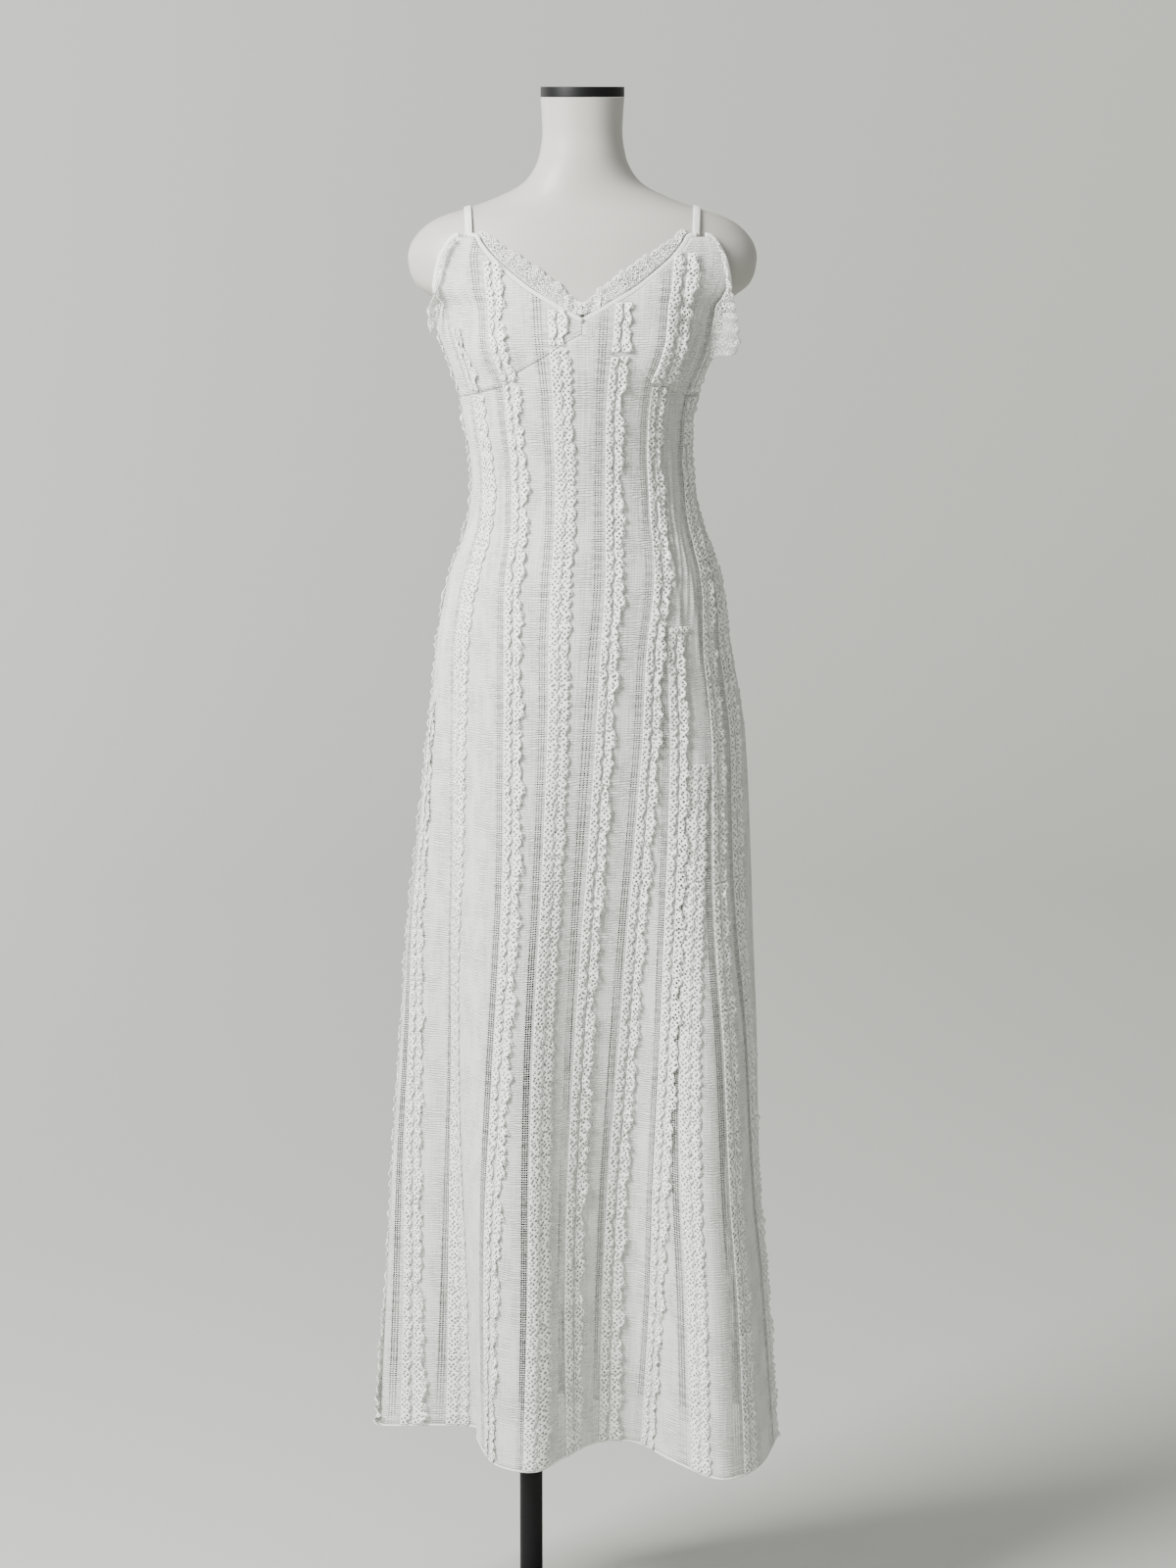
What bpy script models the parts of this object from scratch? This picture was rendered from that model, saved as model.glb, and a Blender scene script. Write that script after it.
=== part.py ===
"""A long camisole dress of crinkled cotton gauze with lace ruffles, worn by a limbless dress form on a stand.

Metres, +Z up, the front of the dress faces -Y, and the origin is on the floor under the form's axis. A place on
the cloth is a turn and a height. The turn runs once round the body: 0 at the centre front, 0.25 at the right
side as seen from the front, 0.5 at the centre back and -0.25 at the left side. The dress is cut in three front
panels, four back panels and two cups, and every piece is a closed wall worked out from dress_point(turn, height).
"""

import math

import bmesh
import bpy
from mathutils import Vector

# Driving sizes of the stand and the form
BASE_RADIUS = 0.150
BASE_THICKNESS = 0.010
SOCKET_RADIUS = 0.021
SOCKET_HEIGHT = 0.030
POLE_RADIUS = 0.0128
POLE_X = -0.058
POLE_DEPTH_IN_FORM = 0.040
NECK_CAP_RADIUS = 0.0452
NECK_CAP_THICKNESS = 0.0110
FIT = 0.0003

# Driving sizes of the dress
HEM = 0.2185
HIP = 1.120
SHOULDER_LOW = 1.470
SHOULDER_HIGH = 1.510
CLOTH = 0.0015
EASE = 0.0052
SHOULDER_EASE = 0.0084
SEAM = 0.0003
RUFFLE_BASE = 0.0120
RUFFLE_OFFSET = 0.0006
RUFFLE_REACH = 0.0035
RUFFLE_WAVE = 0.0020
RUFFLE_LIFT = 0.0044
RUFFLE_WAVE_LENGTH = 0.105
RUFFLE_PHASE_FRONT = 1.7
RUFFLE_PHASE_BACK = 2.3
RUFFLE_PHASE_CUP = 0.9
BINDING_WIDTH = 0.0060
BINDING_THICKNESS = 0.0034
BINDING_STOP = 0.0020
STRAP_WIDTH = 0.0082
STRAP_THICKNESS = 0.0022
LACE = 0.0012
NECK_LACE_WIDTH = 0.021
NECK_LACE_GAP = 0.0012
NECK_LACE_LEAN = 0.0004
NECK_LACE_FLARE = 0.0012
NECK_LACE_CURL = 0.0010
NECK_LACE_SCALLOP = 0.0015
NECK_LACE_WAVE_STEP = 2.3
NECK_LACE_LEAST = 0.45
NECK_LACE_START = 0.12
ARMHOLE_LACE_STAND = 0.0005
ARMHOLE_LACE_WAVE = 0.0030
ARMHOLE_LACE_WAVE_LENGTH = 0.045
ARMHOLE_LACE_TUCK = 0.004
ARMHOLE_LACE_NEAR = 0.30
ARMHOLE_LACE_BEND_OUT = 0.75
ARMHOLE_LACE_BEND_DOWN = 0.40
FORM_CLEARANCE = 0.0026
RUFFLE_END = 0.0020
RUFFLE_TIP_ROOM = 0.0022
FLARE_HEIGHT = 0.180
SIDE_FLARE = 2.0
FOLD_POWER = 1.15
TWIST_SHARE = 0.3

# A ruffle's two bands on the width of its base, and its second wave in shares of the first
MIDDLE_PLACE = 0.56
CREST_PLACE = 0.40
CREST_LIFT = 0.75
CREST_SWAY = 0.5
CREST_DIP = 0.3
SECOND_LENGTH = 0.8
SECOND_PHASE = 2.1
SECOND_SIZE = 0.4

BODY_ROUNDNESS = 2.2
LEAST_SLANT = 0.3

# The form's sections: height, half width, reach to the front and reach to the back
FORM_SECTIONS = (
    (0.803, 0.140, 0.076, 0.086),
    (0.812, 0.148, 0.084, 0.094),
    (0.880, 0.151, 0.088, 0.101),
    (0.960, 0.154, 0.093, 0.111),
    (1.050, 0.154, 0.098, 0.118),
    (1.110, 0.150, 0.100, 0.115),
    (1.160, 0.142, 0.098, 0.106),
    (1.204, 0.132, 0.094, 0.096),
    (1.250, 0.119, 0.088, 0.086),
    (1.300, 0.112, 0.084, 0.080),
    (1.350, 0.114, 0.087, 0.081),
    (1.400, 0.123, 0.092, 0.084),
    (1.440, 0.138, 0.094, 0.089),
    (1.480, 0.149, 0.092, 0.092),
    (1.494, 0.154, 0.089, 0.090),
    (1.503, 0.168, 0.086, 0.088),
    (1.514, 0.181, 0.082, 0.085),
    (1.528, 0.187, 0.078, 0.082),
    (1.543, 0.189, 0.074, 0.078),
    (1.556, 0.186, 0.070, 0.074),
    (1.568, 0.178, 0.066, 0.070),
    (1.579, 0.166, 0.061, 0.066),
    (1.588, 0.148, 0.057, 0.062),
    (1.5945, 0.126, 0.053, 0.059),
    (1.601, 0.107, 0.050, 0.056),
    (1.608, 0.090, 0.048, 0.054),
    (1.615, 0.075, 0.047, 0.052),
    (1.623, 0.063, 0.046, 0.050),
    (1.634, 0.054, 0.0455, 0.048),
    (1.650, 0.0470, 0.0450, 0.0460),
    (1.676, 0.0432, 0.0432, 0.0435),
    (1.700, 0.0442, 0.0442, 0.0442),
    (1.7135, 0.0452, 0.0452, 0.0452),
)
FORM_SIDES = 32

# The two soft rises of the bust, by azimuth from the front in turns of the compass
BUST_AZIMUTH = 0.128
BUST_HEIGHT = 1.447
BUST_RISE = 0.013
BUST_SPREAD_AZIMUTH = 0.060
BUST_SPREAD_HEIGHT = 0.042
BUST_LOW = 1.345
BUST_TOP = 1.485
FORM_STEP = 0.030

# The smooth dress's sections: height, and reach to the left, the right, the front and the back
DRESS_SECTIONS = (
    (0.2185, 0.2275, 0.2180, 0.117, 0.155),
    (0.411, 0.2180, 0.2050, 0.117, 0.151),
    (0.524, 0.2125, 0.1965, 0.117, 0.148),
    (0.691, 0.2010, 0.1925, 0.117, 0.142),
    (0.801, 0.1935, 0.1880, 0.116, 0.138),
    (0.911, 0.1810, 0.1845, 0.115, 0.134),
    (1.020, 0.1695, 0.1790, 0.114, 0.131),
    (1.075, 0.1633, 0.1705, 0.113, 0.130),
    (1.129, 0.1580, 0.1612, 0.111, 0.127),
    (1.172, 0.1505, 0.1560, 0.108, 0.119),
    (1.204, 0.1425, 0.1490, 0.105, 0.109),
    (1.237, 0.1300, 0.1370, 0.100, 0.099),
    (1.268, 0.1225, 0.1270, 0.096, 0.092),
    (1.300, 0.1200, 0.1225, 0.094, 0.088),
    (1.333, 0.1225, 0.1200, 0.097, 0.089),
    (1.364, 0.1280, 0.1205, 0.101, 0.091),
    (1.397, 0.1330, 0.1255, 0.104, 0.093),
    (1.418, 0.1400, 0.1330, 0.106, 0.095),
    (1.440, 0.1480, 0.1420, 0.106, 0.097),
    (1.460, 0.1550, 0.1500, 0.104, 0.099),
    (1.484, 0.1590, 0.1570, 0.100, 0.100),
    (1.500, 0.1620, 0.1610, 0.096, 0.098),
    (1.520, 0.1650, 0.1650, 0.090, 0.092),
    (1.545, 0.1675, 0.1675, 0.082, 0.084),
    (1.575, 0.1580, 0.1580, 0.072, 0.072),
)

# Each crest and valley of the hem: its turn on the cloth, its x and y on the plan, and how far it rides up
HEM_FOLDS = (
    ("left side crest", -0.250, -0.2275, 0.020, 0.012),
    ("left side, front", -0.215, -0.172, -0.004, 0.018),
    ("left valley", -0.178, -0.120, -0.012, 0.018),
    ("left lobe, outer side", -0.132, -0.116, -0.072, 0.021),
    ("left lobe, corner", -0.097, -0.096, -0.120, 0.008),
    ("left lobe, crest", -0.056, -0.052, -0.136, 0.004),
    ("left lobe, inner side", -0.028, -0.020, -0.108, 0.012),
    ("centre slope", 0.000, 0.004, -0.080, 0.017),
    ("centre valley, left", 0.022, 0.028, -0.065, 0.018),
    ("centre valley, right", 0.048, 0.062, -0.066, 0.016),
    ("right lobe, inner side", 0.086, 0.098, -0.112, 0.010),
    ("right lobe, crest", 0.124, 0.150, -0.150, 0.000),
    ("right lobe, outer side", 0.153, 0.187, -0.122, 0.001),
    ("right side, front", 0.200, 0.209, -0.050, 0.003),
    ("right side", 0.250, 0.218, 0.030, 0.009),
    ("right back lobe", 0.300, 0.180, 0.118, 0.008),
    ("right back valley", 0.345, 0.120, 0.098, 0.010),
    ("back lobe, right", 0.400, 0.073, 0.160, 0.006),
    ("back valley, right", 0.445, 0.030, 0.122, 0.009),
    ("back lobe, centre", 0.500, -0.022, 0.168, 0.006),
    ("back valley, left", 0.550, -0.065, 0.118, 0.009),
    ("back lobe, left", 0.600, -0.114, 0.152, 0.008),
    ("left back valley", 0.650, -0.145, 0.092, 0.010),
    ("left back lobe", 0.700, -0.201, 0.088, 0.011),
)

# Turn and height along the upper edge of the cups and the back, and along the seam under the cups. Both sides
# are alike.
TOP_EDGE = (
    (0.000, 1.4760),
    (0.0277, 1.4945),
    (0.0556, 1.5120),
    (0.0857, 1.5365),
    (0.1080, 1.5580),
    (0.1170, 1.5660),
    (0.1400, 1.5660),
    (0.1500, 1.5470),
    (0.1660, 1.5150),
    (0.1850, 1.4970),
    (0.2100, 1.4880),
    (0.2500, 1.4830),
    (0.3000, 1.4790),
    (0.3500, 1.4770),
    (0.4200, 1.4740),
    (0.5000, 1.4720),
)
CUP_SEAM = (
    (0.000, 1.4670),
    (0.0416, 1.4405),
    (0.0760, 1.4238),
    (0.0940, 1.4120),
    (0.1240, 1.4055),
    (0.1800, 1.3980),
    (0.2500, 1.3940),
)

# How far each armhole's lace stands out and hangs down at its lower end, and the phase of its wave
ARMHOLE_LACE_LEFT = (0.007, 0.026, 0.5)
ARMHOLE_LACE_RIGHT = (0.013, 0.050, 1.2)

STRAP_TURN = 0.1285
STRAP_BACK_TURN = 0.405

# The strap's middle line: its share of the way, and its distance from the centre
STRAP_LINE = ((0.0, 0.1208), (0.32, 0.1240), (0.6, 0.1080), (1.0, 0.0860))
STRAP_AXIS = 1.500
STRAP_START = 52.0
STRAP_END = 192.5
STRAP_STEPS = 16
STRAP_GAP = 0.0007
STRAP_END_GAP = 0.0018
STRAP_END_SHARE = 0.2
STRAP_SEAT = 0.0006
STRAP_SEARCH_REACH = 0.200
STRAP_SEARCH_STEPS = 40

# Heights of the rows of points in the panels, and the steps above them
ROW_HEIGHTS = (
    HEM, 0.315, 0.415, 0.515, 0.615, 0.715, 0.810, 0.900, 0.980, 1.050, 1.105, 1.155, 1.200, 1.240, 1.275,
    1.310, 1.345,
)
STEPS_TO_SEAM = 2
STEPS_IN_CUP = 5
WIDEST_STEP = 0.034
RUFFLE_STEP = 0.050

# The thread of the centre front, in turns at the thread heights
CENTRE_THREAD = (0.000, 0.000, -0.003, -0.012, -0.024, -0.034, -0.040)

# Each lace ruffle has a name, the turn of the thread it lies on at each of these heights, and the height at
# which it starts. The front ones whose start is the cup seam go on over the cup.
THREAD_HEIGHTS = (1.400, 1.300, 1.100, 0.880, 0.660, 0.410, HEM)
AT_SEAM = 2.0
NO_RUFFLE = 0.0
UNDER_ARM = 1.470
FRONT_RUFFLES = (
    ("ruffle_01", (-0.226, -0.226, -0.228, -0.230, -0.227, -0.227, -0.228), 1.060),
    ("ruffle_02", (-0.166, -0.162, -0.156, -0.154, -0.170, -0.188, -0.198), AT_SEAM),
    ("left seat of the strap", (-0.1285, -0.1285, -0.116, -0.112, -0.126, -0.146, -0.152), NO_RUFFLE),
    ("ruffle_03", (-0.094, -0.092, -0.074, -0.072, -0.084, -0.100, -0.107), AT_SEAM),
    ("ruffle_04", (-0.026, -0.025, -0.025, -0.032, -0.044, -0.052, -0.060), AT_SEAM),
    ("ruffle_05", (0.038, 0.036, 0.020, 0.008, -0.004, -0.016, -0.020), AT_SEAM),
    ("ruffle_06", (0.102, 0.102, 0.068, 0.050, 0.036, 0.024, 0.020), AT_SEAM),
    ("ruffle_07", (0.1285, 0.1285, 0.096, 0.088, 0.080, 0.070, 0.057), 1.150),
    ("ruffle_08", (0.158, 0.156, 0.122, 0.108, 0.102, 0.106, 0.107), 1.000),
    ("ruffle_09", (0.186, 0.184, 0.150, 0.140, 0.148, 0.152, 0.149), AT_SEAM),
    ("ruffle_10", (0.216, 0.214, 0.188, 0.176, 0.196, 0.216, 0.218), 1.240),
)
BACK_RUFFLES = (
    ("ruffle_11", (0.268, 0.268, 0.268, 0.266, 0.264, 0.262, 0.260), AT_SEAM),
    ("ruffle_12", (0.318, 0.318, 0.318, 0.318, 0.318, 0.318, 0.318), AT_SEAM),
    ("ruffle_13", (0.368, 0.368, 0.368, 0.368, 0.368, 0.368, 0.368), AT_SEAM),
    ("ruffle_14", (0.418, 0.418, 0.418, 0.418, 0.418, 0.418, 0.418), AT_SEAM),
    ("ruffle_15", (0.468, 0.468, 0.468, 0.468, 0.468, 0.468, 0.468), AT_SEAM),
    ("ruffle_16", (0.518, 0.518, 0.518, 0.518, 0.518, 0.518, 0.518), AT_SEAM),
    ("ruffle_17", (0.568, 0.568, 0.568, 0.568, 0.568, 0.568, 0.568), AT_SEAM),
    ("ruffle_18", (0.618, 0.618, 0.618, 0.618, 0.618, 0.618, 0.618), AT_SEAM),
    ("ruffle_19", (0.670, 0.670, 0.670, 0.670, 0.670, 0.670, 0.670), AT_SEAM),
    ("ruffle_20", (0.722, 0.722, 0.722, 0.722, 0.724, 0.728, 0.732), AT_SEAM),
)

# The upright panels of the front and the back, from left to right on the cloth, and the ruffles that lie over the
# seams between them
FRONT_PANELS = ("front_panel_left", "front_panel_centre", "front_panel_right")
FRONT_SEAMS = ("ruffle_03", "ruffle_06")
BACK_PANELS = ("back_panel_right", "back_panel_inner_right", "back_panel_inner_left", "back_panel_left")
BACK_SEAMS = ("ruffle_13", "ruffle_15", "ruffle_17")


def curve(rows, place):
    """A smooth line through (place, value) rows, without overshoot at the ends."""
    count = len(rows)
    if place <= rows[0][0]:
        return rows[0][1]
    if place >= rows[-1][0]:
        return rows[-1][1]
    index = max(i for i in range(count - 1) if rows[i][0] <= place)
    (x0, y0), (x1, y1) = rows[index], rows[index + 1]
    span = x1 - x0
    slope = (y1 - y0) / span
    before = slope if index == 0 else (y0 - rows[index - 1][1]) / (x0 - rows[index - 1][0])
    after = slope if index == count - 2 else (rows[index + 2][1] - y1) / (rows[index + 2][0] - x1)
    start = 0.0 if before * slope <= 0 else 2 * before * slope / (before + slope)
    end = 0.0 if after * slope <= 0 else 2 * after * slope / (after + slope)
    s = (place - x0) / span
    return (
        y0 * (1 + 2 * s) * (1 - s) ** 2 + y1 * s * s * (3 - 2 * s)
        + span * (start * s * (1 - s) ** 2 - end * s * s * (1 - s))
    )


def table_curves(rows):
    """One (height, value) list for each column of a table after its first."""
    return [[(row[0], row[column]) for row in rows] for column in range(1, len(rows[0]))]


FORM_CURVES = table_curves(FORM_SECTIONS)
DRESS_CURVES = table_curves(DRESS_SECTIONS)


def rounded(value, power):
    return math.copysign(abs(value) ** power, value)


def section_point(turn, left, right, front, back):
    """A point on a rounded section with its own half sizes to each side."""
    angle = 2 * math.pi * turn
    x = rounded(math.sin(angle), 2 / BODY_ROUNDNESS)
    y = -rounded(math.cos(angle), 2 / BODY_ROUNDNESS)
    return x * (right if x > 0 else left), y * (back if y > 0 else front)


def bust_rise(x, y, z):
    azimuth = math.atan2(x, -y) / (2 * math.pi)
    aside = (abs(azimuth) - BUST_AZIMUTH) / BUST_SPREAD_AZIMUTH
    above = (z - BUST_HEIGHT) / BUST_SPREAD_HEIGHT
    return BUST_RISE * math.exp(-aside * aside - above * above)


def form_reach(x, y, z):
    """How far the form's surface lies from its axis, in the direction of the point (x, y)."""
    half_width, front, back = (curve(column, z) for column in FORM_CURVES)
    depth = back if y > 0 else front
    distance = math.hypot(x, y)
    share = (abs(x) / half_width) ** BODY_ROUNDNESS + (abs(y) / depth) ** BODY_ROUNDNESS
    return distance / share ** (1 / BODY_ROUNDNESS) + bust_rise(x, y, z)


def clear_of_form(x, y, z, clearance):
    """The point, moved out from the axis where it would lie nearer than the clearance to the form."""
    if z < FORM_SECTIONS[0][0]:
        return x, y
    distance = math.hypot(x, y)
    least = form_reach(x, y, z) + clearance
    if distance >= least:
        return x, y
    return x * least / distance, y * least / distance


def smooth_section(turn, height):
    return section_point(turn, *(curve(column, height) for column in DRESS_CURVES))


def hem_point(turn):
    """The hem's place on the plan and its lift, on a smooth closed curve through the folds."""
    count = len(HEM_FOLDS)
    turn = (turn + 0.250) % 1.0 - 0.250
    index = max(i for i in range(count) if HEM_FOLDS[i][1] <= turn + 1e-9)
    rows = []
    for step in (-1, 0, 1, 2):
        laps, place = divmod(index + step, count)
        fold = HEM_FOLDS[place]
        rows.append((fold[1] + laps, fold[2:]))
    (t0, p0), (t1, p1), (t2, p2), (t3, p3) = rows
    s = (turn - t1) / (t2 - t1)
    result = []
    for a, b, c, d in zip(p0, p1, p2, p3):
        start = (c - a) / (t2 - t0) * (t2 - t1)
        end = (d - b) / (t3 - t1) * (t2 - t1)
        result.append(
            b * (1 + 2 * s) * (1 - s) ** 2 + c * s * s * (3 - 2 * s)
            + start * s * (1 - s) ** 2 - end * s * s * (1 - s)
        )
    return result


def dress_point(turn, height):
    """The outer face of the cloth. Below the hip the folds of the hem fade in along straight lines."""
    x, y = smooth_section(turn, height)
    z = height
    if height < HIP:
        fall = (HIP - height) / (HIP - HEM)
        hem_x, hem_y, lift = hem_point(turn)
        flat_x, flat_y = smooth_section(turn, HEM)
        depth = fall ** FOLD_POWER
        x += depth * (hem_x - flat_x)
        y += depth * (hem_y - flat_y)
        z += fall * lift
    ease = curve(((SHOULDER_LOW, EASE), (SHOULDER_HIGH, SHOULDER_EASE)), z)
    x, y = clear_of_form(x, y, z, ease)
    return Vector((x, y, z))


def dress_normal(turn, height):
    step = 0.0015
    across = dress_point(turn + step, height) - dress_point(turn - step, height)
    up = dress_point(turn, height + step) - dress_point(turn, height - step)
    return across.cross(up).normalized()


def top_edge(turn):
    folded = abs((turn + 0.5) % 1.0 - 0.5)
    return curve(TOP_EDGE, folded)


def cup_seam(turn):
    return curve(CUP_SEAM, abs(turn))


def thread_turn(turns, height):
    """Where a thread of the cloth lies at a height."""
    rows = [(-level, turn) for level, turn in zip(THREAD_HEIGHTS, turns)]
    return curve(rows, -height)


def girth(height):
    """About how long the cloth is round the body at a height."""
    left, right, front, back = (curve(column, height) for column in DRESS_CURVES)
    return math.pi * math.sqrt(((left + right) ** 2 + (front + back) ** 2) / 2)


def thread_line(turns, aside=0.0):
    """A line down the cloth, at a distance aside of a thread. Above the last even row it keeps its turn."""
    def place(height):
        level = min(height, ROW_HEIGHTS[-1])
        return thread_turn(turns, level) + aside / girth(level)
    return place


def line_between(first, last, share):
    return lambda height: first(height) * (1 - share) + last(height) * share


def panel_lines(ruffles, first, last):
    """The lines of points across a stretch of cloth, and the line at which each ruffle's base begins."""
    lines = [first]
    for _, turns, _ in ruffles:
        lines += [thread_line(turns, -RUFFLE_BASE / 2), thread_line(turns, RUFFLE_BASE / 2)]
    lines.append(last)
    result = []
    begins = {}
    names = [ruffle[0] for ruffle in ruffles]
    for index in range(0, len(lines), 2):
        left, right = lines[index], lines[index + 1]
        widest = max(right(height) - left(height) for height in THREAD_HEIGHTS)
        steps = math.ceil(widest / WIDEST_STEP)
        result += [line_between(left, right, step / steps) for step in range(steps)]
        result.append(right)
        if index // 2 < len(names):
            begins[names[index // 2]] = len(result) - 1
    return result, begins


def make_material(name, colour, roughness, metallic=0.0):
    material = bpy.data.materials.new(name)
    material.use_nodes = True
    shader = material.node_tree.nodes["Principled BSDF"]
    shader.inputs["Base Color"].default_value = (*colour, 1.0)
    shader.inputs["Roughness"].default_value = roughness
    shader.inputs["Metallic"].default_value = metallic
    return material


def make_object(name, points, faces, material, sharp_degrees=40):
    mesh = bpy.data.meshes.new(name)
    mesh.from_pydata([tuple(point) for point in points], [], faces)
    shape = bmesh.new()
    shape.from_mesh(mesh)
    bmesh.ops.recalc_face_normals(shape, faces=shape.faces)
    shape.to_mesh(mesh)
    shape.free()
    mesh.shade_smooth()
    mesh.set_sharp_from_angle(angle=math.radians(sharp_degrees))
    mesh.materials.append(material)
    piece = bpy.data.objects.new(name, mesh)
    bpy.context.scene.collection.objects.link(piece)
    return piece


def make_tube(name, rings, material, sharp_degrees=40):
    """A closed solid through rings of equal count, with flat ends."""
    size = len(rings[0])
    points = [point for ring in rings for point in ring]
    faces = []
    for step in range(len(rings) - 1):
        for side in range(size):
            a = step * size + side
            b = step * size + (side + 1) % size
            faces.append((a, b, b + size, a + size))
    faces.append(tuple(range(size)))
    faces.append(tuple(range((len(rings) - 1) * size, len(rings) * size)))
    return make_object(name, points, faces, material, sharp_degrees)


def make_wall(name, outer, inner, material):
    """A closed wall between two grids of points, rows upwards and columns with the turn."""
    rows = len(outer)
    columns = len(outer[0])
    points = [point for grid in (outer, inner) for row in grid for point in row]

    def at(face, row, column):
        return face * rows * columns + row * columns + column

    faces = []
    for row in range(rows - 1):
        for column in range(columns - 1):
            a, b = at(0, row, column), at(0, row, column + 1)
            c, d = at(0, row + 1, column + 1), at(0, row + 1, column)
            halves = [(a, b, c), (a, c, d)]
            faces += halves + [tuple(i + rows * columns for i in reversed(half)) for half in halves]
    for row in range(rows - 1):
        for column in (0, columns - 1):
            a, b = at(0, row, column), at(0, row + 1, column)
            faces.append((a, b, b + rows * columns, a + rows * columns))
    for column in range(columns - 1):
        for row in (0, rows - 1):
            a, b = at(0, row, column), at(0, row, column + 1)
            faces.append((a, b, b + rows * columns, a + rows * columns))
    return make_object(name, points, faces, material)


def even_grid(lines, heights_on):
    """Turns and heights for a grid: a row for each entry of heights_on(line), a column for each line."""
    columns = []
    for line in lines:
        columns.append([(line(height), height) for height in heights_on(line)])
    return [list(row) for row in zip(*columns)]


def panel_faces(grid, seam_rows=(), seam_columns=()):
    """Outer and inner points of a panel, drawn in by half a seam along the rows and columns that are sewn."""
    outer = [[dress_point(*place) for place in row] for row in grid]
    normals = [[dress_normal(*place) for place in row] for row in grid]
    drawn = [[point.copy() for point in row] for row in outer]
    for row, column in ((r, c) for r in range(len(outer)) for c in range(len(outer[0]))):
        if column in seam_columns:
            toward = outer[row][1 if column == 0 else column - 1] - outer[row][column]
            drawn[row][column] += toward.normalized() * SEAM / 2
        if row in seam_rows:
            toward = outer[1 if row == 0 else row - 1][column] - outer[row][column]
            drawn[row][column] += toward.normalized() * SEAM / 2
    inner = [
        [point - normal * CLOTH for point, normal in zip(points, aims)] for points, aims in zip(drawn, normals)
    ]
    return drawn, inner, normals


def make_panels(names, panel, seams, material):
    """Parts a stretch of cloth into upright panels, drawn in by half a seam where they are sewn together."""
    outer, inner, _ = panel
    ends = [0, *seams, len(outer[0]) - 1]
    for name, first, last in zip(names, ends, ends[1:]):
        walls = []
        for grid in (outer, inner):
            wall = [[point.copy() for point in row[first:last + 1]] for row in grid]
            for row in wall:
                if first in seams:
                    row[0] += (row[1] - row[0]).normalized() * SEAM / 2
                if last in seams:
                    row[-1] += (row[-2] - row[-1]).normalized() * SEAM / 2
            walls.append(wall)
        make_wall(name, *walls, material)


def heights_to_seam(line):
    seam = cup_seam(line(ROW_HEIGHTS[-1]))
    rise = seam - ROW_HEIGHTS[-1]
    return list(ROW_HEIGHTS) + [ROW_HEIGHTS[-1] + rise * (i + 1) / STEPS_TO_SEAM for i in range(STEPS_TO_SEAM)]


def heights_in_cup(line):
    turn = line(ROW_HEIGHTS[-1])
    low, high = cup_seam(turn), top_edge(turn)
    return [low + (high - low) * i / STEPS_IN_CUP for i in range(STEPS_IN_CUP + 1)]


def heights_in_back(line):
    side = cup_seam(0.25)
    rise = side - ROW_HEIGHTS[-1]
    heights = list(ROW_HEIGHTS)
    heights += [ROW_HEIGHTS[-1] + rise * (i + 1) / STEPS_TO_SEAM for i in range(STEPS_TO_SEAM)]
    high = top_edge(line(ROW_HEIGHTS[-1]))
    return heights + [side + (high - side) * (i + 1) / STEPS_IN_CUP for i in range(STEPS_IN_CUP)]


def ruffle_rows(panel, column, start, finish_drop):
    """Steps along the base of a ruffle, from the bottom up: its points, directions and twist on the panel."""
    outer, _, normals = panel
    top = min(start, outer[-1][column].z - finish_drop)
    steps = []
    for row in range(len(outer) - 1):
        low, high = outer[row], outer[row + 1]
        span = (high[column] - low[column]).length
        count = max(1, math.ceil(span / RUFFLE_STEP))
        turned = (low[column + 1] - low[column]) - (high[column + 1] - high[column])
        twist = abs(turned.dot((normals[row][column] + normals[row + 1][column + 1]).normalized()))
        for step in range(count + 1):
            if step == 0 and steps:
                steps[-1][4] = max(steps[-1][4], twist)
                continue
            share = step / count
            left = low[column].lerp(high[column], share)
            right = low[column + 1].lerp(high[column + 1], share)
            aim = normals[row][column].lerp(normals[row + 1][column], share)
            aim += normals[row][column + 1].lerp(normals[row + 1][column + 1], share)
            beyond = low[column + 2].lerp(high[column + 2], share)
            if left.z > top:
                return steps
            steps.append([left, right, aim.normalized(), beyond - right, twist])
    return steps


def tip_room(left, right, aim, beyond):
    """How far a ruffle may reach past its base before it would touch cloth that rises beside it."""
    climb = beyond.dot(aim)
    if climb <= 0:
        return 1.0
    along = (right - left).normalized()
    return (RUFFLE_LIFT - RUFFLE_TIP_ROOM) * max(0.0, beyond.dot(along)) / climb


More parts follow.
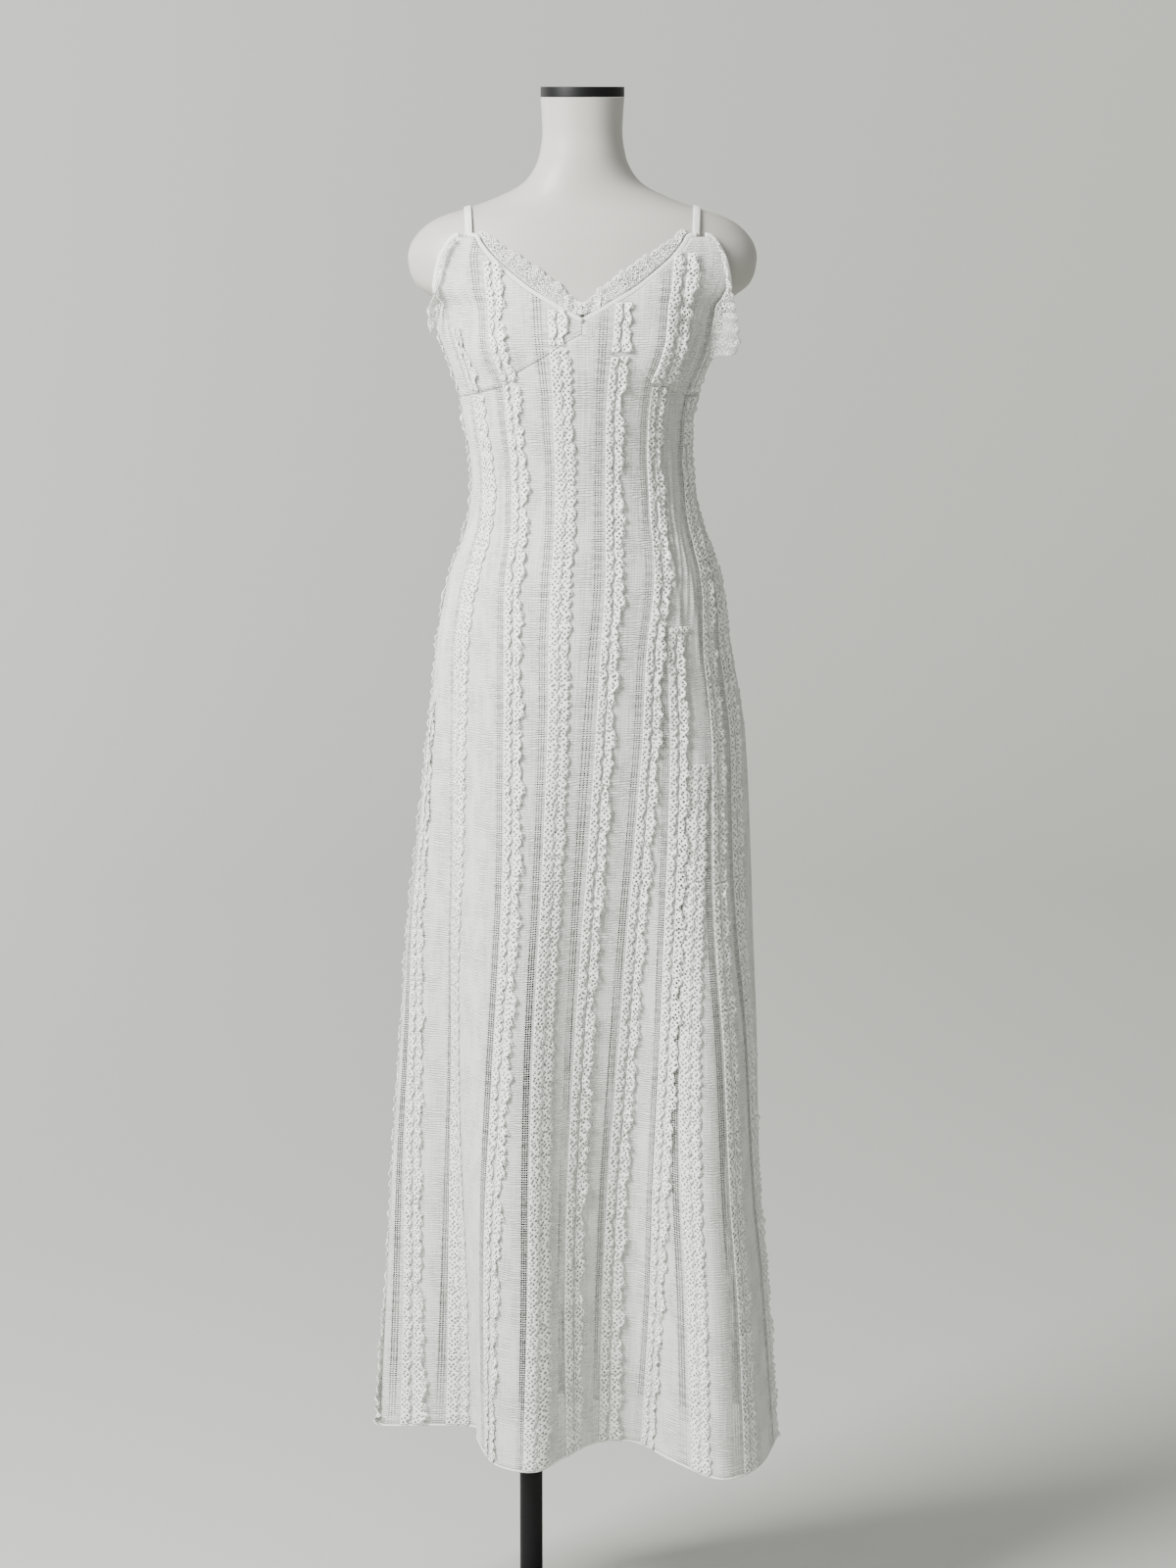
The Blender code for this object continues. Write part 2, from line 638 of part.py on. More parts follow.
def make_ruffle(name, panel, column, start, material, phase, flare=1.0):
    """Two bands of lace gathered on one base: a low one, and one that reaches past it with a wavy edge."""
    rows = ruffle_rows(panel, column, start, RUFFLE_END)
    rooms = [tip_room(*row[:4]) for row in rows]
    rings = []
    for index, (left, right, aim, _, twist) in enumerate(rows):
        along = (right - left).normalized()
        if index == 0:
            rise = (rows[1][0] - left).normalized()
            left, right = left + rise * RUFFLE_END, right + rise * RUFFLE_END
        wave = math.sin(2 * math.pi * left.z / RUFFLE_WAVE_LENGTH + phase)
        along_second = left.z / (SECOND_LENGTH * RUFFLE_WAVE_LENGTH)
        second = math.sin(2 * math.pi * along_second + SECOND_PHASE * phase + 1.0)
        widening = 1 + (flare - 1) * max(0.0, 1 - (left.z - HEM) / FLARE_HEIGHT)
        reach = (RUFFLE_REACH + RUFFLE_WAVE * wave) * widening
        lift = (RUFFLE_LIFT + SECOND_SIZE * RUFFLE_WAVE * second) * widening
        reach = min(reach, *rooms[max(index - 1, 0):index + 2])
        offset = RUFFLE_OFFSET + TWIST_SHARE * twist
        middle = left.lerp(right, MIDDLE_PLACE)
        crest = left.lerp(right, CREST_PLACE) + along * CREST_SWAY * RUFFLE_WAVE * second
        rings.append([
            left + aim * offset,
            right + aim * offset,
            right + along * reach + aim * (offset + lift),
            middle + aim * (offset + LACE),
            crest + aim * (offset + CREST_LIFT * RUFFLE_LIFT - CREST_DIP * RUFFLE_WAVE * wave),
        ])
    return make_tube(name, rings, material, 60)


def ring_clear_of_form(ring, aim, clearance):
    """A ring of points, moved outward together where one of them would come too near to the form."""
    move = 0.0
    for point in ring:
        away = Vector((point.x, point.y, 0))
        shortage = form_reach(point.x, point.y, point.z) + clearance - away.length
        move = max(move, shortage / max(LEAST_SLANT, aim.dot(away.normalized())))
    return [point + aim * move for point in ring]


def edge_frames(panel, columns):
    """Point, outward direction and direction off the cloth at each column of a panel's upper edge."""
    outer, _, normals = panel
    points = [outer[-1][column].copy() for column in columns]
    for end, beside in ((0, 1), (-1, -2)):
        if columns[end] not in (0, len(outer[-1]) - 1):
            points[end] += (points[beside] - points[end]).normalized() * BINDING_STOP
    frames = []
    for index, column in enumerate(columns):
        aim = normals[-1][column]
        ahead = points[min(index + 1, len(points) - 1)] - points[index]
        behind = points[index] - points[max(index - 1, 0)]
        run = (ahead.normalized() + behind.normalized()).normalized()
        off = aim.cross(run).normalized()
        if off.z < 0:
            off = -off
        if column in (0, len(outer[-1]) - 1):
            upright = (outer[-1][column] - outer[-2][column]).normalized()
            off = upright / max(LEAST_SLANT, upright.dot(off))
        frames.append((points[index], aim, off))
    return frames


def make_binding(name, frames, material):
    rings = []
    for point, aim, off in frames:
        inside = aim * -(CLOTH + BINDING_THICKNESS) / 2
        outside = aim * (BINDING_THICKNESS - CLOTH) / 2
        ring = [
            point + off * SEAM + inside,
            point + off * SEAM + outside,
            point + off * (SEAM + BINDING_WIDTH) + outside,
            point + off * (SEAM + BINDING_WIDTH) + inside,
        ]
        rings.append(ring_clear_of_form(ring, aim, FORM_CLEARANCE))
    make_tube(name, rings, material)
    return rings


def form_skin(x, y, z, gap):
    """The place over a point of the form, at a gap from its surface, in the same direction from the axis."""
    reach = form_reach(x, y, z) + gap
    distance = math.hypot(x, y)
    return Vector((x * reach / distance, y * reach / distance, z))


def make_neck_lace(name, frames, binding, material, phase):
    """Lace that stands up behind the binding of the neckline and leans on the form."""
    rings = []
    for index, ((_, aim, off), ring) in enumerate(zip(frames, binding)):
        share = index / (len(frames) - 1)
        rise = math.sin(math.pi * (NECK_LACE_START + (1 - NECK_LACE_START) * share))
        width = NECK_LACE_WIDTH * (NECK_LACE_LEAST + (1 - NECK_LACE_LEAST) * rise)
        wave = math.sin(NECK_LACE_WAVE_STEP * index + phase)
        foot = (ring[2] + ring[3]) / 2 + off * SEAM
        middle = foot + off * width / 2
        edge = foot + off * (width + NECK_LACE_SCALLOP * wave)
        gaps = (
            NECK_LACE_GAP, NECK_LACE_GAP + NECK_LACE_LEAN,
            NECK_LACE_GAP + NECK_LACE_FLARE + NECK_LACE_CURL * wave,
        )
        for p in (foot, middle, edge):
            p.x = math.copysign(max(abs(p.x), 2 * SEAM), frames[-1][0].x)
        inner = [form_skin(p.x, p.y, p.z, gap) for p, gap in zip((foot, middle, edge), gaps)]
        outer = [form_skin(p.x, p.y, p.z, gap + LACE) for p, gap in zip((foot, middle, edge), gaps)]
        rings.append(inner + outer[::-1])
    return make_tube(name, rings, material, 60)


def make_armhole_lace(name, frames, binding, material, out, drop, phase):
    """Lace that falls outward from the armhole's binding: upright near the strap, hanging under the arm."""
    rings = []
    travelled = 0.0
    for index, ((point, aim, _), ring) in enumerate(zip(frames, binding)):
        share = index / (len(frames) - 1)
        travelled += (point - frames[max(index - 1, 0)][0]).length
        wave = math.sin(2 * math.pi * travelled / ARMHOLE_LACE_WAVE_LENGTH + phase)
        fall = drop * math.sin(0.5 * math.pi * share) ** 2 - ARMHOLE_LACE_TUCK * (1 - share)
        reach = out * (ARMHOLE_LACE_NEAR + (1 - ARMHOLE_LACE_NEAR) * share) + ARMHOLE_LACE_WAVE * wave * share
        down = Vector((0, 0, -1))
        aside = Vector((aim.x, aim.y, 0)).normalized()
        skin = (aside * fall - down * reach).normalized() * LACE
        foot = (ring[1] + ring[2]) / 2 + aim * (ARMHOLE_LACE_STAND + max(0.0, -skin.dot(aim)))
        middle = foot + aside * ARMHOLE_LACE_BEND_OUT * reach + down * ARMHOLE_LACE_BEND_DOWN * fall
        edge = foot + aside * reach + down * fall
        rings.append([foot, middle, edge, edge + skin, middle + skin, foot + skin])
    make_tube(name, rings, material, 60)


def strap_surface(x, angle):
    """The form's surface over the point (x, 0, STRAP_AXIS), at an angle from the front over the top."""
    low, high = 0.0, STRAP_SEARCH_REACH
    for _ in range(STRAP_SEARCH_STEPS):
        reach = (low + high) / 2
        y, z = -reach * math.cos(angle), STRAP_AXIS + reach * math.sin(angle)
        inside = z < FORM_SECTIONS[-1][0] and form_reach(x, y, z) > math.hypot(x, y)
        low, high = (reach, high) if inside else (low, reach)
    return Vector((x, -low * math.cos(angle), STRAP_AXIS + low * math.sin(angle)))


def strap_route(side, aside):
    """A line on the form beside the strap's middle, from the cup over the shoulder to the back."""
    points = []
    for step in range(STRAP_STEPS + 1):
        share = step / STRAP_STEPS
        x = curve(STRAP_LINE, share) + side * aside
        angle = math.radians(STRAP_START + (STRAP_END - STRAP_START) * share)
        points.append(strap_surface(side * x, angle))
    return points


def make_strap(name, side, front_top, back_top, material):
    left_edge, right_edge = (strap_route(side, aside) for aside in (-STRAP_WIDTH / 2, STRAP_WIDTH / 2))
    rings = []
    last = len(left_edge) - 1
    for index, (left, right) in enumerate(zip(left_edge, right_edge)):
        run = (left_edge[min(index + 1, last)] - left_edge[max(index - 1, 0)]).normalized()
        out = run.cross(right - left).normalized()
        if out.dot(left - Vector((left.x, 0, STRAP_AXIS))) < 0:
            out = -out
        ends = max(0.0, 1 - min(index, last - index) / (STRAP_END_SHARE * last))
        low = out * (STRAP_GAP + STRAP_END_GAP * ends)
        high = low + out * STRAP_THICKNESS
        rings.append([left + low, right + low, right + high, left + high])
    for ring, level in ((rings[0], front_top + SEAM), (rings[-1], back_top + SEAM)):
        for point in ring:
            point.z = level
    return make_tube(name, rings, material)


def make_form(material):
    heights = []
    for (low, *_), (high, *_) in zip(FORM_SECTIONS, FORM_SECTIONS[1:]):
        steps = max(1, math.ceil((high - low) / FORM_STEP - 0.01)) if BUST_LOW <= low < BUST_TOP else 1
        heights += [low + (high - low) * step / steps for step in range(steps)]
    heights.append(FORM_SECTIONS[-1][0])
    rings = []
    for z in heights:
        half_width, front, back = (curve(column, z) for column in FORM_CURVES)
        ring = []
        for side in range(FORM_SIDES):
            x, y = section_point(side / FORM_SIDES, half_width, half_width, front, back)
            stretch = 1 + bust_rise(x, y, z) / math.hypot(x, y)
            ring.append(Vector((x * stretch, y * stretch, z)))
        rings.append(ring)
    form = make_tube("form_torso", rings, material, 50)
    bottom = FORM_SECTIONS[0][0]
    bpy.ops.mesh.primitive_cylinder_add(
        vertices=24, radius=POLE_RADIUS + FIT, depth=2 * POLE_DEPTH_IN_FORM, location=(POLE_X, 0, bottom)
    )
    cutter = bpy.context.object
    cutter.name = "pole_hole_cutter"
    cutter.hide_render = True
    cutter.display_type = "WIRE"
    cut = form.modifiers.new("pole hole", "BOOLEAN")
    cut.operation = "DIFFERENCE"
    cut.object = cutter
    return form


def make_turned(name, profile, centre, material, sides=32):
    """A solid turned round an upright axis through the centre, from (radius, height) points."""
    rings = []
    for radius, height in profile:
        ring = []
        for side in range(sides):
            angle = 2 * math.pi * side / sides
            x, y = centre[0] + radius * math.cos(angle), centre[1] + radius * math.sin(angle)
            ring.append(Vector((x, y, height)))
        rings.append(ring)
    return make_tube(name, rings, material)


def make_collar(name, inner, outer, low, high, centre, material, sides=24):
    """A ring round an upright axis, with a small chamfer on its upper rim."""
    chamfer = 0.0025
    profile = [(inner, low), (outer, low), (outer, high - chamfer), (outer - chamfer, high), (inner, high)]
    points = []
    faces = []
    count = len(profile)
    for side in range(sides):
        angle = 2 * math.pi * side / sides
        for radius, height in profile:
            points.append((centre[0] + radius * math.cos(angle), centre[1] + radius * math.sin(angle), height))
        for index in range(count):
            a = side * count + index
            b = side * count + (index + 1) % count
            c = ((side + 1) % sides) * count + (index + 1) % count
            d = ((side + 1) % sides) * count + index
            faces.append((a, b, c, d))
    return make_object(name, points, faces, material)


def make_stand(black):
    plate_top = BASE_THICKNESS
    edge = 0.002
    make_turned(
        "stand_base",
        [(BASE_RADIUS, 0.0), (BASE_RADIUS, plate_top - edge), (BASE_RADIUS - edge, plate_top)],
        (0.0, 0.0), black, 48,
    )
    centre = (POLE_X, 0.0)
    make_collar(
        "stand_socket", POLE_RADIUS + FIT, SOCKET_RADIUS, plate_top + FIT, plate_top + SOCKET_HEIGHT, centre,
        black,
    )
    top = FORM_SECTIONS[0][0] + POLE_DEPTH_IN_FORM - FIT
    make_turned("stand_pole", [(POLE_RADIUS, plate_top + FIT), (POLE_RADIUS, top)], centre, black, 24)


def make_dress(cotton, lace, tape):
    centre = thread_line(CENTRE_THREAD)
    left_side = thread_line((-0.25,) * len(THREAD_HEIGHTS))
    right_side = thread_line((0.25,) * len(THREAD_HEIGHTS))
    far_side = thread_line((0.75,) * len(THREAD_HEIGHTS))
    left_ruffles = [ruffle for ruffle in FRONT_RUFFLES if ruffle[1][0] < 0]
    right_ruffles = [ruffle for ruffle in FRONT_RUFFLES if ruffle[1][0] > 0]
    left_lines, left_begins = panel_lines(left_ruffles, left_side, centre)
    right_lines, right_begins = panel_lines(right_ruffles, centre, right_side)
    back_lines, back_begins = panel_lines(BACK_RUFFLES, right_side, far_side)
    front_lines = left_lines + right_lines[1:]
    front_begins = dict(left_begins)
    front_begins.update({name: begin + len(left_lines) - 1 for name, begin in right_begins.items()})

    last = len(front_lines) - 1
    rows = len(ROW_HEIGHTS) + STEPS_TO_SEAM
    front = panel_faces(even_grid(front_lines, heights_to_seam), (rows - 1,), (0, last))
    back = panel_faces(even_grid(back_lines, heights_in_back), (), (0, len(back_lines) - 1))
    left_cup = panel_faces(even_grid(left_lines, heights_in_cup), (0,), (0, len(left_lines) - 1))
    right_cup = panel_faces(even_grid(right_lines, heights_in_cup), (0,), (0, len(right_lines) - 1))
    make_panels(FRONT_PANELS, front, [front_begins[name] for name in FRONT_SEAMS], cotton)
    make_panels(BACK_PANELS, back, [back_begins[name] for name in BACK_SEAMS], cotton)
    make_wall("front_cup_left", left_cup[0], left_cup[1], cotton)
    make_wall("front_cup_right", right_cup[0], right_cup[1], cotton)

    for index, (name, _, start) in enumerate(FRONT_RUFFLES):
        flare = SIDE_FLARE if name == "ruffle_01" else 1.0
        if start != NO_RUFFLE:
            make_ruffle(name, front, front_begins[name], start, lace, RUFFLE_PHASE_FRONT * index, flare)
    for index, (name, _, start) in enumerate(BACK_RUFFLES):
        flare = SIDE_FLARE if name == "ruffle_20" else 1.0
        make_ruffle(name, back, back_begins[name], start, lace, RUFFLE_PHASE_BACK * index, flare)
    for cup, begins in ((left_cup, left_begins), (right_cup, right_begins)):
        for name, begin in begins.items():
            start = next(ruffle[2] for ruffle in FRONT_RUFFLES if ruffle[0] == name)
            if start == AT_SEAM:
                top = UNDER_ARM if name == "ruffle_02" else AT_SEAM
                make_ruffle("cup_" + name, cup, begin, top, lace, RUFFLE_PHASE_CUP * begin)

    left_peak = left_begins["left seat of the strap"]
    right_peak = right_begins["ruffle_07"]
    left_last, right_last = len(left_lines) - 1, len(right_lines) - 1
    neck_left = edge_frames(left_cup, list(range(left_last, left_peak, -1)))
    neck_right = edge_frames(right_cup, list(range(0, right_peak + 1)))
    arm_left = edge_frames(left_cup, list(range(left_peak, -1, -1)))
    arm_right = edge_frames(right_cup, list(range(right_peak + 1, right_last + 1)))
    tape_neck_left = make_binding("neck_binding_left", neck_left, tape)
    tape_neck_right = make_binding("neck_binding_right", neck_right, tape)
    tape_left = make_binding("armhole_binding_left", arm_left, tape)
    tape_right = make_binding("armhole_binding_right", arm_right, tape)
    make_binding("back_binding", edge_frames(back, list(range(len(back_lines)))), tape)
    make_neck_lace("neck_lace_left", neck_left, tape_neck_left, lace, 0.4)
    make_neck_lace("neck_lace_right", neck_right, tape_neck_right, lace, 1.9)
    make_armhole_lace("armhole_lace_left", arm_left[1:], tape_left[1:], lace, *ARMHOLE_LACE_LEFT)
    make_armhole_lace("armhole_lace_right", arm_right[1:], tape_right[1:], lace, *ARMHOLE_LACE_RIGHT)

    back_top = top_edge(STRAP_BACK_TURN) + SEAM + BINDING_WIDTH + STRAP_SEAT
    make_strap("strap_left", -1, top_edge(STRAP_TURN), back_top, tape)
    make_strap("strap_right", 1, top_edge(STRAP_TURN), back_top, tape)


def main():
    for old in list(bpy.data.objects):
        bpy.data.objects.remove(old, do_unlink=True)
    shell = make_material("form_shell", (0.86, 0.85, 0.83), 0.5)
    black = make_material("black_enamel", (0.012, 0.012, 0.014), 0.35)
    cotton = make_material("cotton_gauze", (0.90, 0.90, 0.89), 0.85)
    lace = make_material("cotton_lace", (0.92, 0.92, 0.91), 0.8)
    tape = make_material("cotton_binding", (0.91, 0.91, 0.90), 0.8)
    make_stand(black)
    make_form(shell)
    neck_top = FORM_SECTIONS[-1][0] + FIT
    cap_edge = 0.0008
    make_turned(
        "neck_cap",
        [
            (NECK_CAP_RADIUS, neck_top), (NECK_CAP_RADIUS, neck_top + NECK_CAP_THICKNESS - cap_edge),
            (NECK_CAP_RADIUS - cap_edge, neck_top + NECK_CAP_THICKNESS),
        ],
        (0.0, 0.0), black,
    )
    make_dress(cotton, lace, tape)


main()
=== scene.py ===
"""The looks of a long lace camisole dress of crinkled cotton gauze, worn by a limbless dress form on a stand.

The file is laid out as an add-on: each operator makes one group of like pieces, and the panel in the 3D
view's sidebar lists them. Run as a script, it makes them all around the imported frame. Metres, +Z up, and the
front of the dress faces -Y. A place on the cloth is a turn and a height: the turn is 0 at the centre front,
0.25 at the right side as seen from the front and 0.5 at the centre back.
"""

import math

import bpy
import numpy as np
from bpy.props import FloatProperty, FloatVectorProperty, IntProperty, PointerProperty
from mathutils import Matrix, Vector


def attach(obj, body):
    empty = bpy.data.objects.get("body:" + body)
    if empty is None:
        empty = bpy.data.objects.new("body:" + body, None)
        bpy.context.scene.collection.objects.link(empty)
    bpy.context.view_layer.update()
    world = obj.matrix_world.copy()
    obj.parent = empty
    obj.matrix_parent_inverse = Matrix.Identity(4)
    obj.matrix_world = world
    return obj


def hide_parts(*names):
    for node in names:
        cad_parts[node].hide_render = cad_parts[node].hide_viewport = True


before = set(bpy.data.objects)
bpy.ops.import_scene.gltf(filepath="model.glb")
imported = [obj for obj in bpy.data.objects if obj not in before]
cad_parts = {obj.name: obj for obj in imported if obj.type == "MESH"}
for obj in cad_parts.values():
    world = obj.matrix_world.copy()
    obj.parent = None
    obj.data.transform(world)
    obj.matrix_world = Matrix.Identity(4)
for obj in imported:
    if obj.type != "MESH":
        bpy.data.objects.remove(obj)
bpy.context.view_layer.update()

bl_info = {
    "name": "Lace Camisole Dress",
    "version": (1, 0, 0),
    "blender": (4, 5, 0),
    "location": "View3D > Sidebar > Dress",
    "description": "Makes a gauze and lace dress on a dress form around its frame",
    "category": "Object",
}

# Driving sizes of the stand and the form
BASE_RADIUS = 0.150
BASE_THICKNESS = 0.010
SOCKET_RADIUS = 0.021
SOCKET_HEIGHT = 0.030
POLE_RADIUS = 0.0128
POLE_X = -0.058
POLE_TOP = 0.843
NECK_CAP_RADIUS = 0.0452
NECK_CAP_LOW = 1.7138
NECK_CAP_TOP = 1.7248

# Driving sizes of the dress
HEM = 0.2185
HIP = 1.120
SHOULDER_LOW = 1.470
SHOULDER_HIGH = 1.510
FREE_TURN_HEIGHT = 1.345
FOLD_POWER = 1.15
EASE = 0.0052
SHOULDER_EASE = 0.0084
BODY_ROUNDNESS = 2.2
BINDING_WIDTH = 0.0048
BINDING_THICKNESS = 0.0017
STRAP_WIDTH = 0.0078
STRAP_THICKNESS = 0.0016
NECK_LACE_WIDTH = 0.021
FORM_CLEARANCE = 0.0026
CREASE_CLEARANCE = 0.0022
SEAM_HEIGHT = 0.006
SEAM_LIFT = 0.0004
PANEL_CUT = 0.045

# The drawn-thread ladder left of each ruffle and the ribbed band that holds it, in metres from the ruffle's
# thread, and the width of the lace's firm edge
LADDER_NEAR = 0.0088
LADDER_FAR = 0.0158
LADDER_ROW = 0.0024
BAND_FAR = 0.0190
BAND_NEAR = 0.0165
BAR_PITCH = 0.0021
LACE_RIM = 0.0010

# The form's sections: height, half width, reach to the front and reach to the back
FORM_SECTIONS = (
    (0.803, 0.140, 0.076, 0.086),
    (0.812, 0.148, 0.084, 0.094),
    (0.880, 0.151, 0.088, 0.101),
    (0.960, 0.154, 0.093, 0.111),
    (1.050, 0.154, 0.098, 0.118),
    (1.110, 0.150, 0.100, 0.115),
    (1.160, 0.142, 0.098, 0.106),
    (1.204, 0.132, 0.094, 0.096),
    (1.250, 0.119, 0.088, 0.086),
    (1.300, 0.112, 0.084, 0.080),
    (1.350, 0.114, 0.087, 0.081),
    (1.400, 0.123, 0.092, 0.084),
    (1.440, 0.138, 0.094, 0.089),
    (1.480, 0.149, 0.092, 0.092),
    (1.494, 0.154, 0.089, 0.090),
    (1.503, 0.168, 0.086, 0.088),
    (1.514, 0.181, 0.082, 0.085),
    (1.528, 0.187, 0.078, 0.082),
    (1.543, 0.189, 0.074, 0.078),
    (1.556, 0.186, 0.070, 0.074),
    (1.568, 0.178, 0.066, 0.070),
    (1.579, 0.166, 0.061, 0.066),
    (1.588, 0.148, 0.057, 0.062),
    (1.5945, 0.126, 0.053, 0.059),
    (1.601, 0.107, 0.050, 0.056),
    (1.608, 0.090, 0.048, 0.054),
    (1.615, 0.075, 0.047, 0.052),
    (1.623, 0.063, 0.046, 0.050),
    (1.634, 0.054, 0.0455, 0.048),
    (1.650, 0.0470, 0.0450, 0.0460),
    (1.676, 0.0432, 0.0432, 0.0435),
    (1.700, 0.0442, 0.0442, 0.0442),
    (1.7135, 0.0452, 0.0452, 0.0452),
)
FORM_SIDES = 144
FORM_ROWS = 220

# The two soft rises of the bust, by azimuth from the front in turns of the compass
BUST_AZIMUTH = 0.128
BUST_HEIGHT = 1.447
BUST_RISE = 0.013
BUST_SPREAD_AZIMUTH = 0.060
BUST_SPREAD_HEIGHT = 0.042

# The smooth dress's sections: height, and reach to the left, the right, the front and the back
DRESS_SECTIONS = (
    (0.2185, 0.2275, 0.2180, 0.117, 0.155),
    (0.411, 0.2180, 0.2050, 0.117, 0.151),
    (0.524, 0.2125, 0.1965, 0.117, 0.148),
    (0.691, 0.2010, 0.1925, 0.117, 0.142),
    (0.801, 0.1935, 0.1880, 0.116, 0.138),
    (0.911, 0.1810, 0.1845, 0.115, 0.134),
    (1.020, 0.1695, 0.1790, 0.114, 0.131),
    (1.075, 0.1633, 0.1705, 0.113, 0.130),
    (1.129, 0.1580, 0.1612, 0.111, 0.127),
    (1.172, 0.1505, 0.1560, 0.108, 0.119),
    (1.204, 0.1425, 0.1490, 0.105, 0.109),
    (1.237, 0.1300, 0.1370, 0.100, 0.099),
    (1.268, 0.1225, 0.1270, 0.096, 0.092),
    (1.300, 0.1200, 0.1225, 0.094, 0.088),
    (1.333, 0.1225, 0.1200, 0.097, 0.089),
    (1.364, 0.1280, 0.1205, 0.101, 0.091),
    (1.397, 0.1330, 0.1255, 0.104, 0.093),
    (1.418, 0.1400, 0.1330, 0.106, 0.095),
    (1.440, 0.1480, 0.1420, 0.106, 0.097),
    (1.460, 0.1550, 0.1500, 0.104, 0.099),
    (1.484, 0.1590, 0.1570, 0.100, 0.100),
    (1.500, 0.1620, 0.1610, 0.096, 0.098),
    (1.520, 0.1650, 0.1650, 0.090, 0.092),
    (1.545, 0.1675, 0.1675, 0.082, 0.084),
    (1.575, 0.1580, 0.1580, 0.072, 0.072),
)

# Each crest and valley of the hem: its turn on the cloth, its x and y on the plan, and how far it rides up
HEM_FOLDS = (
    (-0.250, -0.2275, 0.020, 0.012),
    (-0.215, -0.172, -0.004, 0.018),
    (-0.178, -0.120, -0.012, 0.018),
    (-0.132, -0.116, -0.072, 0.021),
    (-0.097, -0.096, -0.120, 0.008),
    (-0.056, -0.052, -0.136, 0.004),
    (-0.028, -0.020, -0.108, 0.012),
    (0.000, 0.004, -0.080, 0.017),
    (0.022, 0.028, -0.065, 0.018),
    (0.048, 0.062, -0.066, 0.016),
    (0.086, 0.098, -0.112, 0.010),
    (0.124, 0.150, -0.150, 0.000),
    (0.153, 0.187, -0.122, 0.001),
    (0.200, 0.209, -0.050, 0.003),
    (0.250, 0.218, 0.030, 0.009),
    (0.300, 0.180, 0.118, 0.008),
    (0.345, 0.120, 0.098, 0.010),
    (0.400, 0.073, 0.160, 0.006),
    (0.445, 0.030, 0.122, 0.009),
    (0.500, -0.022, 0.168, 0.006),
    (0.550, -0.065, 0.118, 0.009),
    (0.600, -0.114, 0.152, 0.008),
    (0.650, -0.145, 0.092, 0.010),
    (0.700, -0.201, 0.088, 0.011),
)

# Turn and height along the upper edge of the cups and the back, and along the seam under the cups. Both sides
# are alike.
TOP_EDGE = (
    (0.000, 1.4760),
    (0.0277, 1.4945),
    (0.0556, 1.5120),
    (0.0857, 1.5365),
    (0.1080, 1.5580),
    (0.1170, 1.5660),
    (0.1400, 1.5660),
    (0.1500, 1.5470),
    (0.1660, 1.5150),
    (0.1850, 1.4970),
    (0.2100, 1.4880),
    (0.2500, 1.4830),
    (0.3000, 1.4790),
    (0.3500, 1.4770),
    (0.4200, 1.4740),
    (0.5000, 1.4720),
)
CUP_SEAM = (
    (0.000, 1.4670),
    (0.0416, 1.4405),
    (0.0760, 1.4238),
    (0.0940, 1.4120),
    (0.1240, 1.4055),
    (0.1800, 1.3980),
    (0.2500, 1.3940),
)
NECK_PEAK = 0.1170
ARM_PEAK = 0.1400

# The strap's middle line: its share of the way, and its distance from the centre
STRAP_LINE = ((0.0, 0.1208), (0.32, 0.1240), (0.6, 0.1080), (1.0, 0.0860))
STRAP_AXIS = 1.500
STRAP_START = 52.0
STRAP_END = 192.5
STRAP_STEPS = 90
STRAP_GAP = 0.0007
STRAP_END_RISE = 0.0018

# Each lace ruffle has a name, the turn of the thread it lies on at each of these heights, and the height at
# which it starts. The front ones whose start is the cup seam go on over the cup.
THREAD_HEIGHTS = (1.400, 1.300, 1.100, 0.880, 0.660, 0.410, HEM)
AT_SEAM = 2.0
NO_RUFFLE = 0.0
UNDER_ARM = 1.470
FRONT_RUFFLES = (
    ("ruffle_01", (-0.226, -0.226, -0.228, -0.230, -0.227, -0.227, -0.228), 1.060),
    ("ruffle_02", (-0.166, -0.162, -0.156, -0.154, -0.170, -0.188, -0.198), AT_SEAM),
    ("left seat of the strap", (-0.1285, -0.1285, -0.116, -0.112, -0.126, -0.146, -0.152), NO_RUFFLE),
    ("ruffle_03", (-0.094, -0.092, -0.074, -0.072, -0.084, -0.100, -0.107), AT_SEAM),
    ("ruffle_04", (-0.026, -0.025, -0.025, -0.032, -0.044, -0.052, -0.060), AT_SEAM),
    ("ruffle_05", (0.038, 0.036, 0.020, 0.008, -0.004, -0.016, -0.020), AT_SEAM),
    ("ruffle_06", (0.102, 0.102, 0.068, 0.050, 0.036, 0.024, 0.020), AT_SEAM),
    ("ruffle_07", (0.1285, 0.1285, 0.096, 0.088, 0.080, 0.070, 0.057), 1.150),
    ("ruffle_08", (0.158, 0.156, 0.122, 0.108, 0.102, 0.106, 0.107), 1.000),
    ("ruffle_09", (0.186, 0.184, 0.150, 0.140, 0.148, 0.152, 0.149), AT_SEAM),
    ("ruffle_10", (0.216, 0.214, 0.188, 0.176, 0.196, 0.216, 0.218), 1.240),
)
BACK_RUFFLES = (
    ("ruffle_11", (0.268, 0.268, 0.268, 0.266, 0.264, 0.262, 0.260), AT_SEAM),
    *((f"ruffle_{12 + row}", (round(0.318 + 0.05 * row, 3),) * 7, AT_SEAM) for row in range(7)),
    ("ruffle_19", (0.670,) * 7, AT_SEAM),
    ("ruffle_20", (0.722, 0.722, 0.722, 0.722, 0.724, 0.728, 0.732), AT_SEAM),
)

